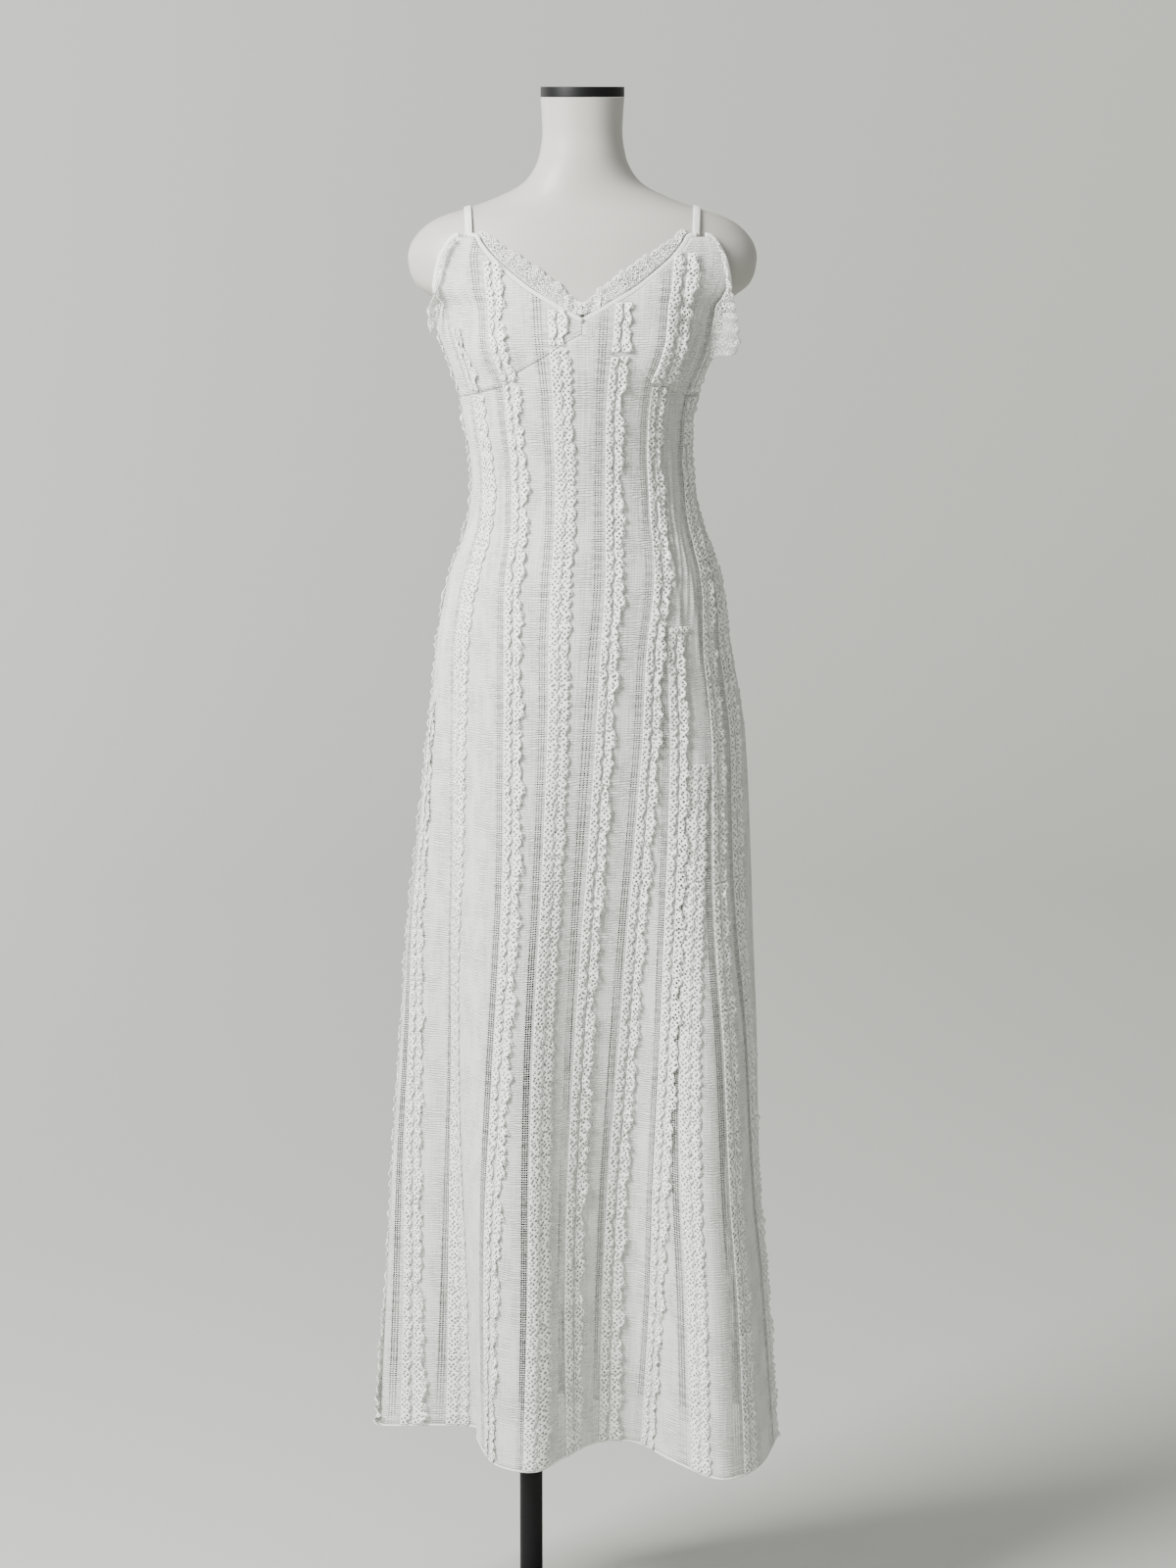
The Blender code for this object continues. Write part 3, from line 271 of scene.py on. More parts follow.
# Soft creases: turn and height of the upper end, turn and height of the lower end, half width in turns,
# and how far the crease stands out
CREASES = (
    (-0.205, 1.330, -0.212, 0.900, 0.0060, 0.0016),
    (-0.190, 1.260, -0.185, 0.640, 0.0075, -0.0014),
    (-0.148, 1.230, -0.150, 0.760, 0.0070, 0.0018),
    (-0.136, 1.360, -0.138, 1.150, 0.0040, -0.0010),
    (-0.120, 1.120, -0.132, 0.480, 0.0080, -0.0020),
    (-0.096, 1.060, -0.112, 0.300, 0.0055, 0.0018),
    (-0.058, 1.000, -0.080, 0.420, 0.0100, 0.0012),
    (-0.010, 0.920, -0.030, 0.330, 0.0090, -0.0012),
    (0.030, 0.840, 0.002, 0.260, 0.0080, 0.0012),
    (0.082, 1.330, 0.078, 1.060, 0.0045, 0.0010),
    (0.112, 1.360, 0.104, 1.020, 0.0040, 0.0016),
    (0.120, 1.250, 0.094, 0.700, 0.0050, -0.0014),
    (0.138, 1.330, 0.132, 0.860, 0.0050, 0.0015),
    (0.168, 1.300, 0.164, 0.560, 0.0065, -0.0014),
    (0.205, 1.240, 0.208, 0.480, 0.0080, 0.0016),
    (0.236, 1.330, 0.238, 0.840, 0.0060, -0.0013),
    (0.292, 1.340, 0.296, 0.760, 0.0070, 0.0016),
    (0.336, 1.280, 0.340, 0.520, 0.0090, -0.0016),
    (0.388, 1.310, 0.396, 0.600, 0.0080, 0.0014),
    (0.440, 1.250, 0.444, 0.380, 0.0095, -0.0015),
    (0.492, 1.300, 0.498, 0.700, 0.0080, 0.0014),
    (0.545, 1.220, 0.550, 0.430, 0.0090, -0.0016),
    (0.594, 1.320, 0.600, 0.650, 0.0075, 0.0015),
    (0.648, 1.260, 0.650, 0.420, 0.0090, -0.0014),
    (0.696, 1.330, 0.700, 0.780, 0.0070, 0.0016),
)

# Small gathers: middle turn, half width in turns, middle height, half height, pitch and depth
GATHERS = (
    (-0.172, 0.050, 1.398, 0.075, 0.0095, 0.0010),
    (-0.110, 0.030, 1.412, 0.045, 0.0075, 0.0007),
    (0.128, 0.034, 1.408, 0.085, 0.0070, 0.0011),
    (0.170, 0.034, 1.392, 0.090, 0.0085, 0.0010),
    (0.116, 0.028, 1.260, 0.110, 0.0078, 0.0008),
    (-0.150, 0.040, 1.262, 0.100, 0.0100, 0.0008),
    (0.360, 0.090, 1.290, 0.120, 0.0110, 0.0007),
    (0.600, 0.110, 1.285, 0.120, 0.0105, 0.0007),
)

# The free edge of each armhole's lace: share of the way from the strap to the side, distance from the centre
# and height
ARMHOLE_EDGE_LEFT = (
    (0.0, 0.1360, 1.5660), (0.30, 0.1475, 1.5420), (0.60, 0.1580, 1.5060), (0.80, 0.1655, 1.4850),
    (1.0, 0.1640, 1.4640),
)
ARMHOLE_EDGE_RIGHT = (
    (0.0, 0.1400, 1.5660), (0.25, 0.1500, 1.5500), (0.50, 0.1600, 1.5060), (0.70, 0.1660, 1.4740),
    (0.86, 0.1685, 1.4520), (0.95, 0.1600, 1.4400), (1.0, 0.1400, 1.4360),
)

# Where that lace is sewn on: share of the way, turn on the cloth and height
ARMHOLE_FOOT_LEFT = ((0.0, 0.140, 1.560), (0.45, 0.156, 1.524), (0.8, 0.185, 1.496), (1.0, 0.198, 1.484))
ARMHOLE_FOOT_RIGHT = ((0.0, 0.143, 1.560), (0.4, 0.158, 1.520), (0.75, 0.172, 1.470), (1.0, 0.178, 1.440))

# The cut of each panel: its name, its widest and longest in metres, its area, what it hangs from and the
# numbers of its ruffles
CLOTH_CUT = (
    ("front_gauze_left", (0.220, 1.190), 0.190, ("cup_gauze_left",), (1, 2)),
    ("front_gauze_centre", (0.172, 1.245), 0.184, ("cup_gauze_left", "cup_gauze_right"), (3, 4, 5)),
    ("front_gauze_right", (0.370, 1.190), 0.256, ("cup_gauze_right",), (6, 7, 8, 9, 10)),
    ("back_gauze_right", (0.200, 1.270), 0.157, ("back_binding_tape",), (11, 12)),
    ("back_gauze_inner_right", (0.137, 1.262), 0.129, ("back_binding_tape",), (13, 14)),
    ("back_gauze_inner_left", (0.132, 1.255), 0.142, ("back_binding_tape",), (15, 16)),
    ("back_gauze_left", (0.244, 1.266), 0.221, ("back_binding_tape",), (17, 18, 19, 20)),
    ("cup_gauze_left", (0.222, 0.172), 0.022, ("strap_left",), (2, 3, 4)),
    ("cup_gauze_right", (0.222, 0.172), 0.022, ("strap_right",), (5, 6, 9)),
)

# Sizes of the meshes, in metres between points
CLOTH_STEP = 0.0027
ROW_STEP = 0.0065
LACE_STEP = 0.0021


def linear(code):
    """An sRGB hex colour as linear red, green and blue."""
    parts = [int(code[i:i + 2], 16) / 255 for i in (1, 3, 5)]
    return tuple(c / 12.92 if c <= 0.04045 else ((c + 0.055) / 1.055) ** 2.4 for c in parts)


def length(name, description, default, precision=4):
    return FloatProperty(
        name=name, description=description, default=default, unit="LENGTH", precision=precision)


def swatch(name, description, code):
    return FloatVectorProperty(
        name=name, description=description, subtype="COLOR", size=3, default=linear(code))


class GauzeSettings(bpy.types.PropertyGroup):
    colour: swatch("Gauze colour", "Bleached cotton", "#e7e7e3")
    thickness: length("Thickness", "Of the double gauze", 0.0006)
    rib: length("Rib pitch", "From one upright rib to the next", 0.0021)
    crinkle: length("Crinkle pitch", "Height of one crosswise crinkle", 0.0027)
    ladder: length("Hemstitch pitch", "From one drawn-thread hole to the next", 0.0026)


class LaceSettings(bpy.types.PropertyGroup):
    colour: swatch("Lace colour", "Bleached cotton lace", "#fbfbf7")
    scallop: length("Scallop", "Length of one scallop of the free edge", 0.0135)
    mesh: length("Net", "From one hole of the net to the next", 0.0042)
    thickness: length("Thickness", "Of the lace", 0.0005)


class SewingSettings(bpy.types.PropertyGroup):
    spacing: length("Stitch spacing", "From one stitch to the next", 0.0030)
    length: length("Stitch length", "Of the thread that shows", 0.0021)
    radius: length("Thread radius", "Of the sewing thread", 0.00028, 5)
    seed: IntProperty(name="Seed", description="For the slight unevenness of the stitches", default=7)


class StandSettings(bpy.types.PropertyGroup):
    shell: swatch("Form colour", "Off-white moulded shell", "#b4b2ac")
    enamel: swatch("Enamel colour", "Black enamelled steel", "#08080a")


class StageSettings(bpy.types.PropertyGroup):
    backdrop: swatch("Backdrop colour", "Pale grey paint", "#bcbdb8")
    key: FloatProperty(
        name="Key light", description="Power of the light at the left", default=405.0, unit="POWER")
    fill: FloatProperty(name="Fill light", description="Strength of the light from all round", default=0.56)


def between(s, span, low, high, low_slope, high_slope):
    """The smooth value at share s of the span between two knots with slopes."""
    return (
        low * (1 + 2 * s) * (1 - s) ** 2 + high * s * s * (3 - 2 * s)
        + span * (low_slope * s * (1 - s) ** 2 - high_slope * s * s * (1 - s))
    )


def curve(rows, places):
    """A smooth line through (place, value) rows, read at many places, without overshoot."""
    rows = np.asarray(rows, float)
    x, y = rows[:, 0], rows[:, 1]
    span = np.diff(x)
    slope = np.diff(y) / span
    before, after = slope[:-1], slope[1:]
    alike = before * after > 0
    knots = np.empty(len(x))
    knots[0], knots[-1] = slope[0], slope[-1]
    knots[1:-1] = np.where(alike, 2 * before * after / np.where(alike, before + after, 1.0), 0.0)
    places = np.clip(places, x[0], x[-1])
    i = np.clip(np.searchsorted(x, places, side="right") - 1, 0, len(span) - 1)
    return between((places - x[i]) / span[i], span[i], y[i], y[i + 1], knots[i], knots[i + 1])


def table_curves(rows):
    """One (height, value) list for each column of a table after its first."""
    return [[(row[0], row[column]) for row in rows] for column in range(1, len(rows[0]))]


FORM_CURVES = table_curves(FORM_SECTIONS)
DRESS_CURVES = table_curves(DRESS_SECTIONS)


def unit(vectors):
    return vectors / np.maximum(np.linalg.norm(vectors, axis=-1, keepdims=True), 1e-12)


def dot(a, b):
    return (a * b).sum(-1, keepdims=True)


def section_points(turn, left, right, front, back):
    """Points on a rounded section with its own half sizes to each side."""
    angle = 2 * np.pi * turn
    sine, cosine = np.sin(angle), -np.cos(angle)
    x = np.sign(sine) * np.abs(sine) ** (2 / BODY_ROUNDNESS)
    y = np.sign(cosine) * np.abs(cosine) ** (2 / BODY_ROUNDNESS)
    return x * np.where(x > 0, right, left), y * np.where(y > 0, back, front)


def bust_rise(x, y, z):
    azimuth = np.arctan2(x, -y) / (2 * np.pi)
    aside = (np.abs(azimuth) - BUST_AZIMUTH) / BUST_SPREAD_AZIMUTH
    above = (z - BUST_HEIGHT) / BUST_SPREAD_HEIGHT
    return BUST_RISE * np.exp(-aside * aside - above * above)


def form_reach(x, y, z):
    """How far the form's surface lies from its axis, in the direction of each point."""
    half_width, front, back = (curve(column, z) for column in FORM_CURVES)
    depth = np.where(y > 0, back, front)
    share = (np.abs(x) / half_width) ** BODY_ROUNDNESS + (np.abs(y) / depth) ** BODY_ROUNDNESS
    return np.hypot(x, y) / share ** (1 / BODY_ROUNDNESS) + bust_rise(x, y, z)


def clear_of_form(x, y, z, clearance):
    """The points, moved out from the axis where they would lie nearer than the clearance to the form."""
    distance = np.hypot(x, y)
    least = np.where(z < FORM_SECTIONS[0][0], 0.0, form_reach(x, y, z) + clearance)
    grow = np.maximum(1.0, least / distance)
    return x * grow, y * grow


def hem_points(turn):
    """The hem's x, y and lift, on a smooth closed curve through the folds."""
    folds = np.asarray(HEM_FOLDS)
    count = len(folds)
    spots = np.concatenate((folds[-2:, 0] - 1, folds[:, 0], folds[:3, 0] + 1))
    values = np.concatenate((folds[-2:, 1:], folds[:, 1:], folds[:3, 1:]))
    slopes = (values[2:] - values[:-2]) / (spots[2:] - spots[:-2])[:, None]
    turn = (turn + 0.250) % 1.0 - 0.250
    i = np.clip(np.searchsorted(folds[:, 0], turn + 1e-9, side="right") - 1, 0, count - 1) + 2
    span = (spots[i + 1] - spots[i])[..., None]
    s = (turn - spots[i])[..., None] / span
    return np.moveaxis(between(s, span, values[i], values[i + 1], slopes[i - 1], slopes[i]), -1, 0)


def smooth_points(turn, height):
    """The outer face of the cloth. Below the hip the folds of the hem fade in along straight lines."""
    turn, height = np.broadcast_arrays(np.asarray(turn, float), np.asarray(height, float))
    x, y = section_points(turn, *(curve(column, height) for column in DRESS_CURVES))
    fall = np.clip((HIP - height) / (HIP - HEM), 0.0, None)
    hem_x, hem_y, lift = hem_points(turn)
    flat_x, flat_y = section_points(turn, *(curve(column, HEM) for column in DRESS_CURVES))
    x = x + fall ** FOLD_POWER * (hem_x - flat_x)
    y = y + fall ** FOLD_POWER * (hem_y - flat_y)
    z = height + fall * lift
    ease = curve(((SHOULDER_LOW, EASE), (SHOULDER_HIGH, SHOULDER_EASE)), z)
    x, y = clear_of_form(x, y, z, ease)
    return np.stack((x, y, z), axis=-1)


def cloth_normals(turn, height):
    step = 0.0015
    across = smooth_points(turn + step, height) - smooth_points(turn - step, height)
    up = smooth_points(turn, height + step) - smooth_points(turn, height - step)
    return unit(np.cross(across, up))


def girth(height):
    """About how long the cloth is round the body at a height."""
    left, right, front, back = (curve(column, height) for column in DRESS_CURVES)
    return np.pi * np.sqrt(((left + right) ** 2 + (front + back) ** 2) / 2)


def wander(turn, height, seed, count=7):
    """A slow uneven wave that closes round the body, between about -1 and 1."""
    random = np.random.default_rng(seed)
    total = 0.0
    for _ in range(count):
        laps = random.integers(4, 17)
        climb = random.uniform(-14, 14)
        phase = random.uniform(0, 2 * np.pi)
        total = total + np.sin(2 * np.pi * laps * turn + climb * height + phase)
    return total / math.sqrt(count)


def relief(turn, height):
    """How far the creases and gathers move the cloth outward from its smooth form."""
    turn = (turn + 0.250) % 1.0 - 0.250
    total = 0.0005 * wander(turn, height, 3)
    for top_turn, top, low_turn, low, width, depth in CREASES:
        share = np.clip((top - height) / (top - low), 0.0, 1.0)
        middle = top_turn + (low_turn - top_turn) * share + 0.003 * np.sin(9 * height + 40 * top_turn)
        ends = np.sin(np.pi * np.clip((top - height) / (top - low), 0.0, 1.0)) ** 0.6
        total = total + depth * ends * np.exp(-((turn - middle) / width) ** 2)
    for middle, half, level, reach, pitch, depth in GATHERS:
        window = np.exp(-((turn - middle) / half) ** 4 - ((height - level) / reach) ** 2)
        across = turn * girth(np.minimum(height, FREE_TURN_HEIGHT)) + 0.0016 * np.sin(31 * height + 90 * turn)
        total = total + depth * window * np.sin(2 * np.pi * across / pitch)
    return total


def draped_points(turn, height):
    """The cloth's outer face with its creases, and its directions off the body."""
    aim = cloth_normals(turn, height)
    points = smooth_points(turn, height)
    moved = points + aim * relief(turn, height)[..., None]
    x, y = clear_of_form(moved[..., 0], moved[..., 1], moved[..., 2], CREASE_CLEARANCE)
    return np.stack((x, y, moved[..., 2]), axis=-1), aim


def top_edge(turn):
    return curve(TOP_EDGE, np.abs((turn + 0.5) % 1.0 - 0.5))


def cup_seam(turn):
    return curve(CUP_SEAM, np.abs(turn))


def thread_line(turns):
    """A line down the cloth along a thread. Above a height it keeps its turn."""
    rows = [(-level, turn) for level, turn in zip(THREAD_HEIGHTS, turns)]
    return lambda height: curve(rows, -np.minimum(height, FREE_TURN_HEIGHT))


def upright_line(turn):
    return thread_line((turn,) * len(THREAD_HEIGHTS))


def panel_heights(edge, steps):
    """A function for the heights of the rows of points up a panel to its upper edge, for each column."""
    def heights(turn):
        low = np.linspace(HEM, FREE_TURN_HEIGHT, round((FREE_TURN_HEIGHT - HEM) / ROW_STEP) + 1)
        share = np.arange(1, steps + 1) / steps
        high = FREE_TURN_HEIGHT + (edge(turn)[None, :] - FREE_TURN_HEIGHT) * share[:, None]
        return np.concatenate((np.repeat(low[:, None], len(turn), axis=1), high))

    return heights


body_heights = panel_heights(cup_seam, 13)
back_heights = panel_heights(top_edge, 21)


def cup_heights(turn):
    steps = np.linspace(0, 1, 36)
    low = cup_seam(turn) - 0.0018
    return low[None, :] + (top_edge(turn) - low)[None, :] * steps[:, None]


def add_node(tree, kind, inputs=None, **settings):
    """Adds a node, sets its properties, and sets or links its inputs by name or number."""
    node = tree.nodes.new(kind)
    for key, value in settings.items():
        setattr(node, key, value)
    for key, value in (inputs or {}).items():
        if isinstance(value, bpy.types.NodeSocket):
            tree.links.new(value, node.inputs[key])
        else:
            node.inputs[key].default_value = value
    return node


def maths(tree, operation, *values):
    """A Math node's result from numbers or sockets."""
    return add_node(tree, "ShaderNodeMath", dict(enumerate(values)), operation=operation).outputs[0]


class Finish:
    """A material with its node tree. Most methods add one node and give its result."""

    def __init__(self, name, roughness, sheen=0.0, coat=0.0, specular=0.5):
        self.material = bpy.data.materials.new(name)
        self.material.use_nodes = True
        self.tree = self.material.node_tree
        self.shader = self.tree.nodes["Principled BSDF"]
        for key, value in (
            ("Roughness", roughness), ("Sheen Weight", sheen), ("Coat Weight", coat),
            ("Specular IOR Level", specular),
        ):
            self.shader.inputs[key].default_value = value

    def node(self, kind, inputs=None, **settings):
        return add_node(self.tree, kind, inputs, **settings).outputs

    def maths(self, operation, *values):
        return maths(self.tree, operation, *values)

    def map(self, name):
        return self.node("ShaderNodeUVMap", uv_map=name)[0]

    def place(self):
        return self.node("ShaderNodeTexCoord")["Object"]

    def split(self, vector):
        return self.node("ShaderNodeSeparateXYZ", {0: vector})

    def mapped(self, vector, scale, rotation=(0, 0, 0)):
        return self.node("ShaderNodeMapping", {"Vector": vector, "Rotation": rotation, "Scale": scale})[0]

    def ranged(self, value, low, high, first=0.0, last=1.0):
        """The value, carried from the range low to high to the range first to last."""
        return self.node("ShaderNodeMapRange", {
            "Value": value, "From Min": low, "From Max": high, "To Min": first, "To Max": last})[0]

    def noise(self, vector, scale=1.0, detail=2.0, roughness=0.5, flat=False):
        return self.node("ShaderNodeTexNoise", {
            "Vector": vector, "Scale": scale, "Detail": detail, "Roughness": roughness},
            noise_dimensions="2D" if flat else "3D")[0]

    def cells(self, vector, randomness):
        """The distance to the middle of the nearest cell of a flat net."""
        return self.node("ShaderNodeTexVoronoi", {
            "Vector": vector, "Scale": 1.0, "Randomness": randomness}, voronoi_dimensions="2D")["Distance"]

    def link(self, value, key):
        self.tree.links.new(value, self.shader.inputs[key])

    def bumped(self, height, strength, distance):
        self.link(self.node("ShaderNodeBump", {
            "Height": height, "Strength": strength, "Distance": distance})[0], "Normal")

    def coloured(self, colour, shade):
        """Links the colour, scaled: painted shade on gauze, lace and thread, own tone or dust elsewhere."""
        self.link(self.node("ShaderNodeVectorMath", {
            0: tuple(colour), "Scale": shade}, operation="SCALE")[0], "Base Color")


def gauze_material(settings):
    """Crinkled double gauze of bleached cotton: crosswise crinkles and upright ribs that catch the light, a
    ribbed band left of each ruffle, and in it a drawn-thread ladder whose holes show what is behind."""
    cloth = Finish("crinkled cotton gauze", 0.92, sheen=0.12)
    weave = cloth.map("weave")
    up = cloth.split(weave)[1]
    away = cloth.split(cloth.map("beside"))[1]
    # Crinkles: wavy crosswise lines that come and go
    sway = cloth.noise(cloth.mapped(weave, (75, 150, 1)), flat=True)
    steps = cloth.maths("MULTIPLY", up, 2 * math.pi / settings.crinkle)
    crinkle = cloth.maths("SINE", cloth.maths("MULTIPLY_ADD", sway, 9.0, steps))
    patch = cloth.noise(cloth.mapped(weave, (60, 26, 1)), detail=1.0, flat=True)
    crinkle = cloth.maths("MULTIPLY", crinkle, cloth.ranged(patch, 0.35, 0.62, 0.35, 1.0))
    # Ribs: fine upright threads of uneven strength
    upright = cloth.mapped(weave, (1 / settings.rib, 0.04 / settings.rib, 1))
    ribs = cloth.noise(upright, roughness=0.6, flat=True)
    # The ribbed band: short crosswise bars
    bars = cloth.maths("SINE", cloth.maths("MULTIPLY", up, 2 * math.pi / BAR_PITCH))
    bars = cloth.maths("MULTIPLY", bars, cloth.ranged(away, BAND_FAR, BAND_NEAR))
    height = cloth.maths("MULTIPLY_ADD", ribs, 1.5, crinkle)
    cloth.bumped(cloth.maths("MULTIPLY_ADD", bars, 0.55, height), 1.0, 0.00044)
    # The ladder: three rows of holes, which are larger lower down and small again just above the hem
    laid = cloth.node("ShaderNodeCombineXYZ", {0: away, 1: up})[0]
    holes = cloth.cells(cloth.mapped(laid, (1 / LADDER_ROW, 1 / settings.ladder, 1)), 0.12)
    near = cloth.maths("GREATER_THAN", away, LADDER_NEAR)
    strip = cloth.maths("MULTIPLY", near, cloth.maths("LESS_THAN", away, LADDER_FAR))
    drawn = cloth.ranged(up, 1.0, 0.70, 0.27, 0.43)
    drawn = cloth.maths("MULTIPLY", drawn, cloth.ranged(up, 0.235, 0.31, 0.60, 1.0))
    hole = cloth.maths("MULTIPLY", cloth.maths("LESS_THAN", holes, drawn), strip)
    # Loosely woven, so a tenth of the light goes through each of its two layers
    cloth.link(cloth.maths("MULTIPLY", cloth.maths("SUBTRACT", 1.0, hole), 0.90), "Alpha")
    # Painted shade: the colour is darker in the grooves of the crinkles, between the bars of the band and
    # between the ribs
    painted_groove_shade = cloth.ranged(crinkle, -1.0, 0.6, 0.88, 1.0)
    shade = cloth.maths("MULTIPLY", painted_groove_shade, cloth.ranged(bars, -1.0, 0.0, 0.89, 1.0))
    shade = cloth.maths("MULTIPLY", shade, cloth.ranged(ribs, 0.32, 0.52, 0.90, 1.0))
    cloth.coloured(settings.colour, shade)
    return cloth.material


def net_material(settings):
    """Fine sheer net for the edges: half of it is holes."""
    return lace_material(settings, "sheer cotton net", 0.5, 0.40)


def lace_material(settings, name="cotton lace", size=1.0, hole_size=0.30):
    """Cotton lace: a net of small round holes of uneven size between raised threads, with a firmer edge."""
    lace = Finish(name, 0.88, sheen=0.1)
    pitch = settings.mesh * size
    across = lace.map("lace")
    net = lace.cells(lace.mapped(across, (1 / pitch, 1 / pitch, 1), (0, 0, math.radians(45))), 0.55)
    knots = lace.noise(across, 620.0, flat=True)
    # Both long edges are woven firm. The rim map holds how far each place is from the nearer one.
    inside = lace.maths("GREATER_THAN", lace.split(lace.map("rim"))[0], LACE_RIM)
    motif = lace.noise(across, 95.0, 1.0, flat=True)
    largest = lace.ranged(motif, 0.35, 0.65, hole_size - 0.09, hole_size + 0.05)
    hole = lace.maths("MULTIPLY", lace.maths("LESS_THAN", net, largest), inside)
    lace.link(lace.maths("SUBTRACT", 1.0, hole), "Alpha")
    lace.bumped(lace.maths("MULTIPLY_ADD", net, 1.2, knots), 0.9, 0.0010)
    # Painted shade: the colour darkens towards the rim of each hole of the net
    lace.coloured(settings.colour, lace.ranged(net, hole_size, 0.56, 0.86, 1.0))
    return lace.material


def tape_material(settings):
    """Self-fabric bias tape: fine diagonal threads across a folded edge."""
    tape = Finish("cotton bias tape", 0.9, sheen=0.12)
    place = tape.place()
    turned = tape.mapped(place, (1 / 0.0016,) * 3, (0.3, 0.5, math.radians(45)))
    weave = tape.node("ShaderNodeTexWave", {
        "Vector": turned, "Scale": 0.16, "Distortion": 1.6, "Detail": 2.0})[1]
    tape.bumped(weave, 0.35, 0.0006)
    tape.coloured(settings.colour, tape.ranged(tape.noise(place, 60.0), 0.3, 0.7, 0.95, 1.0))
    return tape.material


def thread_material(settings):
    """Spun sewing thread, a little glossier than the cloth, with its twist."""
    thread = Finish("spun sewing thread", 0.6, sheen=0.1)
    twist = thread.noise(thread.place(), 1800.0, 1.0)
    thread.bumped(twist, 0.4, 0.0002)
    # Painted shade: the colour is darker in the hollows of the twist
    thread.coloured(settings.colour, thread.ranged(twist, 0.0, 1.0, 0.93, 1.0))
    return thread.material


def shell_material(settings):
    """Moulded glass-fibre shell, sprayed off-white and rubbed smooth, with faint orange peel."""
    shell = Finish("sprayed moulded shell", 0.5, coat=0.08)
    place = shell.place()
    shell.bumped(shell.noise(place, 420.0), 0.12, 0.0004)
    cloud = shell.noise(place, 7.0, 3.0)
    shell.link(shell.ranged(cloud, 0.0, 1.0, 0.44, 0.58), "Roughness")
    shell.coloured(settings.shell, shell.ranged(cloud, 0.3, 0.7, 0.97, 1.0))
    return shell.material


def enamel_material(settings):
    """Black stoved enamel on steel: satin, with fine dust and slight rub marks."""
    enamel = Finish("black stoved enamel", 0.5, specular=0.25)
    place = enamel.place()
    dust = enamel.noise(place, 260.0, 4.0)
    enamel.link(enamel.ranged(enamel.noise(place, 18.0, 3.0), 0.0, 1.0, 0.42, 0.60), "Roughness")
    enamel.bumped(dust, 0.08, 0.0003)
    enamel.coloured(settings.enamel, enamel.ranged(dust, 0.0, 1.0, 0.8, 1.35))
    return enamel.material


def material_for(name):
    """The finish of that name, made once."""
    scene = bpy.context.scene
    makers = {
        "crinkled cotton gauze": (gauze_material, scene.dress_gauze),
        "cotton lace": (lace_material, scene.dress_lace),
        "sheer cotton net": (net_material, scene.dress_lace),
        "cotton bias tape": (tape_material, scene.dress_gauze),
        "spun sewing thread": (thread_material, scene.dress_lace),
        "sprayed moulded shell": (shell_material, scene.dress_stand),
        "black stoved enamel": (enamel_material, scene.dress_stand),
    }
    maker, settings = makers[name]
    return bpy.data.materials.get(name) or maker(settings)


def added(name, data):
    """A new object with the data, in the scene."""
    piece = bpy.data.objects.new(name, data)
    bpy.context.scene.collection.objects.link(piece)
    return piece


def mesh_object(name, points, faces, material, maps=None):
    """A smooth mesh object from points and faces. maps holds a UV pair for each corner, by map name."""
    mesh = bpy.data.meshes.new(name)
    mesh.from_pydata(points.tolist(), [], faces.tolist() if isinstance(faces, np.ndarray) else faces)
    for key, pairs in (maps or {}).items():
        layer = mesh.uv_layers.new(name=key)
        layer.data.foreach_set("uv", np.ascontiguousarray(pairs, dtype=np.float32).ravel())
    mesh.shade_smooth()
    mesh.materials.append(material_for(material))
    return added(name, mesh)


def shell_arrays(outer, inner, maps):
    """Points, quads and corner maps of a thin closed wall between two grids, rows upwards and columns to the
    right. Each map holds a pair for the left and for the right corners of each column of quads, by row."""
    rows, columns = outer.shape[:2]
    points = np.concatenate((outer.reshape(-1, 3), inner.reshape(-1, 3)))
    row, column = np.meshgrid(np.arange(rows - 1), np.arange(columns - 1), indexing="ij")
    a = (row * columns + column).ravel()
    quads = np.stack((a, a + 1, a + 1 + columns, a + columns), axis=1)
    back = rows * columns
    sheets = [quads, quads[:, ::-1] + back]
    corner = {}
    for key, (left, right) in maps.items():
        low_left, high_left = left[:-1].reshape(-1, 2), left[1:].reshape(-1, 2)
        low_right, high_right = right[:-1].reshape(-1, 2), right[1:].reshape(-1, 2)
        front = np.stack((low_left, low_right, high_right, high_left), axis=1)
        corner[key] = [front, front[:, ::-1]]
    column = np.arange(columns - 1)
    for edge, turned in ((0, False), (rows - 1, True)):
        b = edge * columns + column
        rim = np.stack((b, b + back, b + 1 + back, b + 1), axis=1)
        sheets.append(rim[:, ::-1] if turned else rim)
        for key, (left, right) in maps.items():
            pairs = np.stack((left[edge], left[edge], right[edge], right[edge]), axis=1)
            corner[key].append(pairs[:, ::-1] if turned else pairs)
    row = np.arange(rows - 1)
    for edge, turned in ((0, True), (columns - 1, False)):
        b = row * columns + edge
        rim = np.stack((b, b + back, b + columns + back, b + columns), axis=1)
        sheets.append(rim[:, ::-1] if turned else rim)
        for key, (left, right) in maps.items():
            side = left[:, 0] if edge == 0 else right[:, -1]
            pairs = np.stack((side[:-1], side[:-1], side[1:], side[1:]), axis=1)
            corner[key].append(pairs[:, ::-1] if turned else pairs)
    return points, np.concatenate(sheets), {key: np.concatenate(parts) for key, parts in corner.items()}


def joined(parts):
    """Several (points, quads, maps) as one."""
    points, quads, maps, offset = [], [], {}, 0
    for these, faces, corner in parts:
        points.append(these)
        quads.append(faces + offset)
        offset += len(these)
        for key, pairs in corner.items():
            maps.setdefault(key, []).append(pairs)
    return np.concatenate(points), np.concatenate(quads), {k: np.concatenate(v) for k, v in maps.items()}


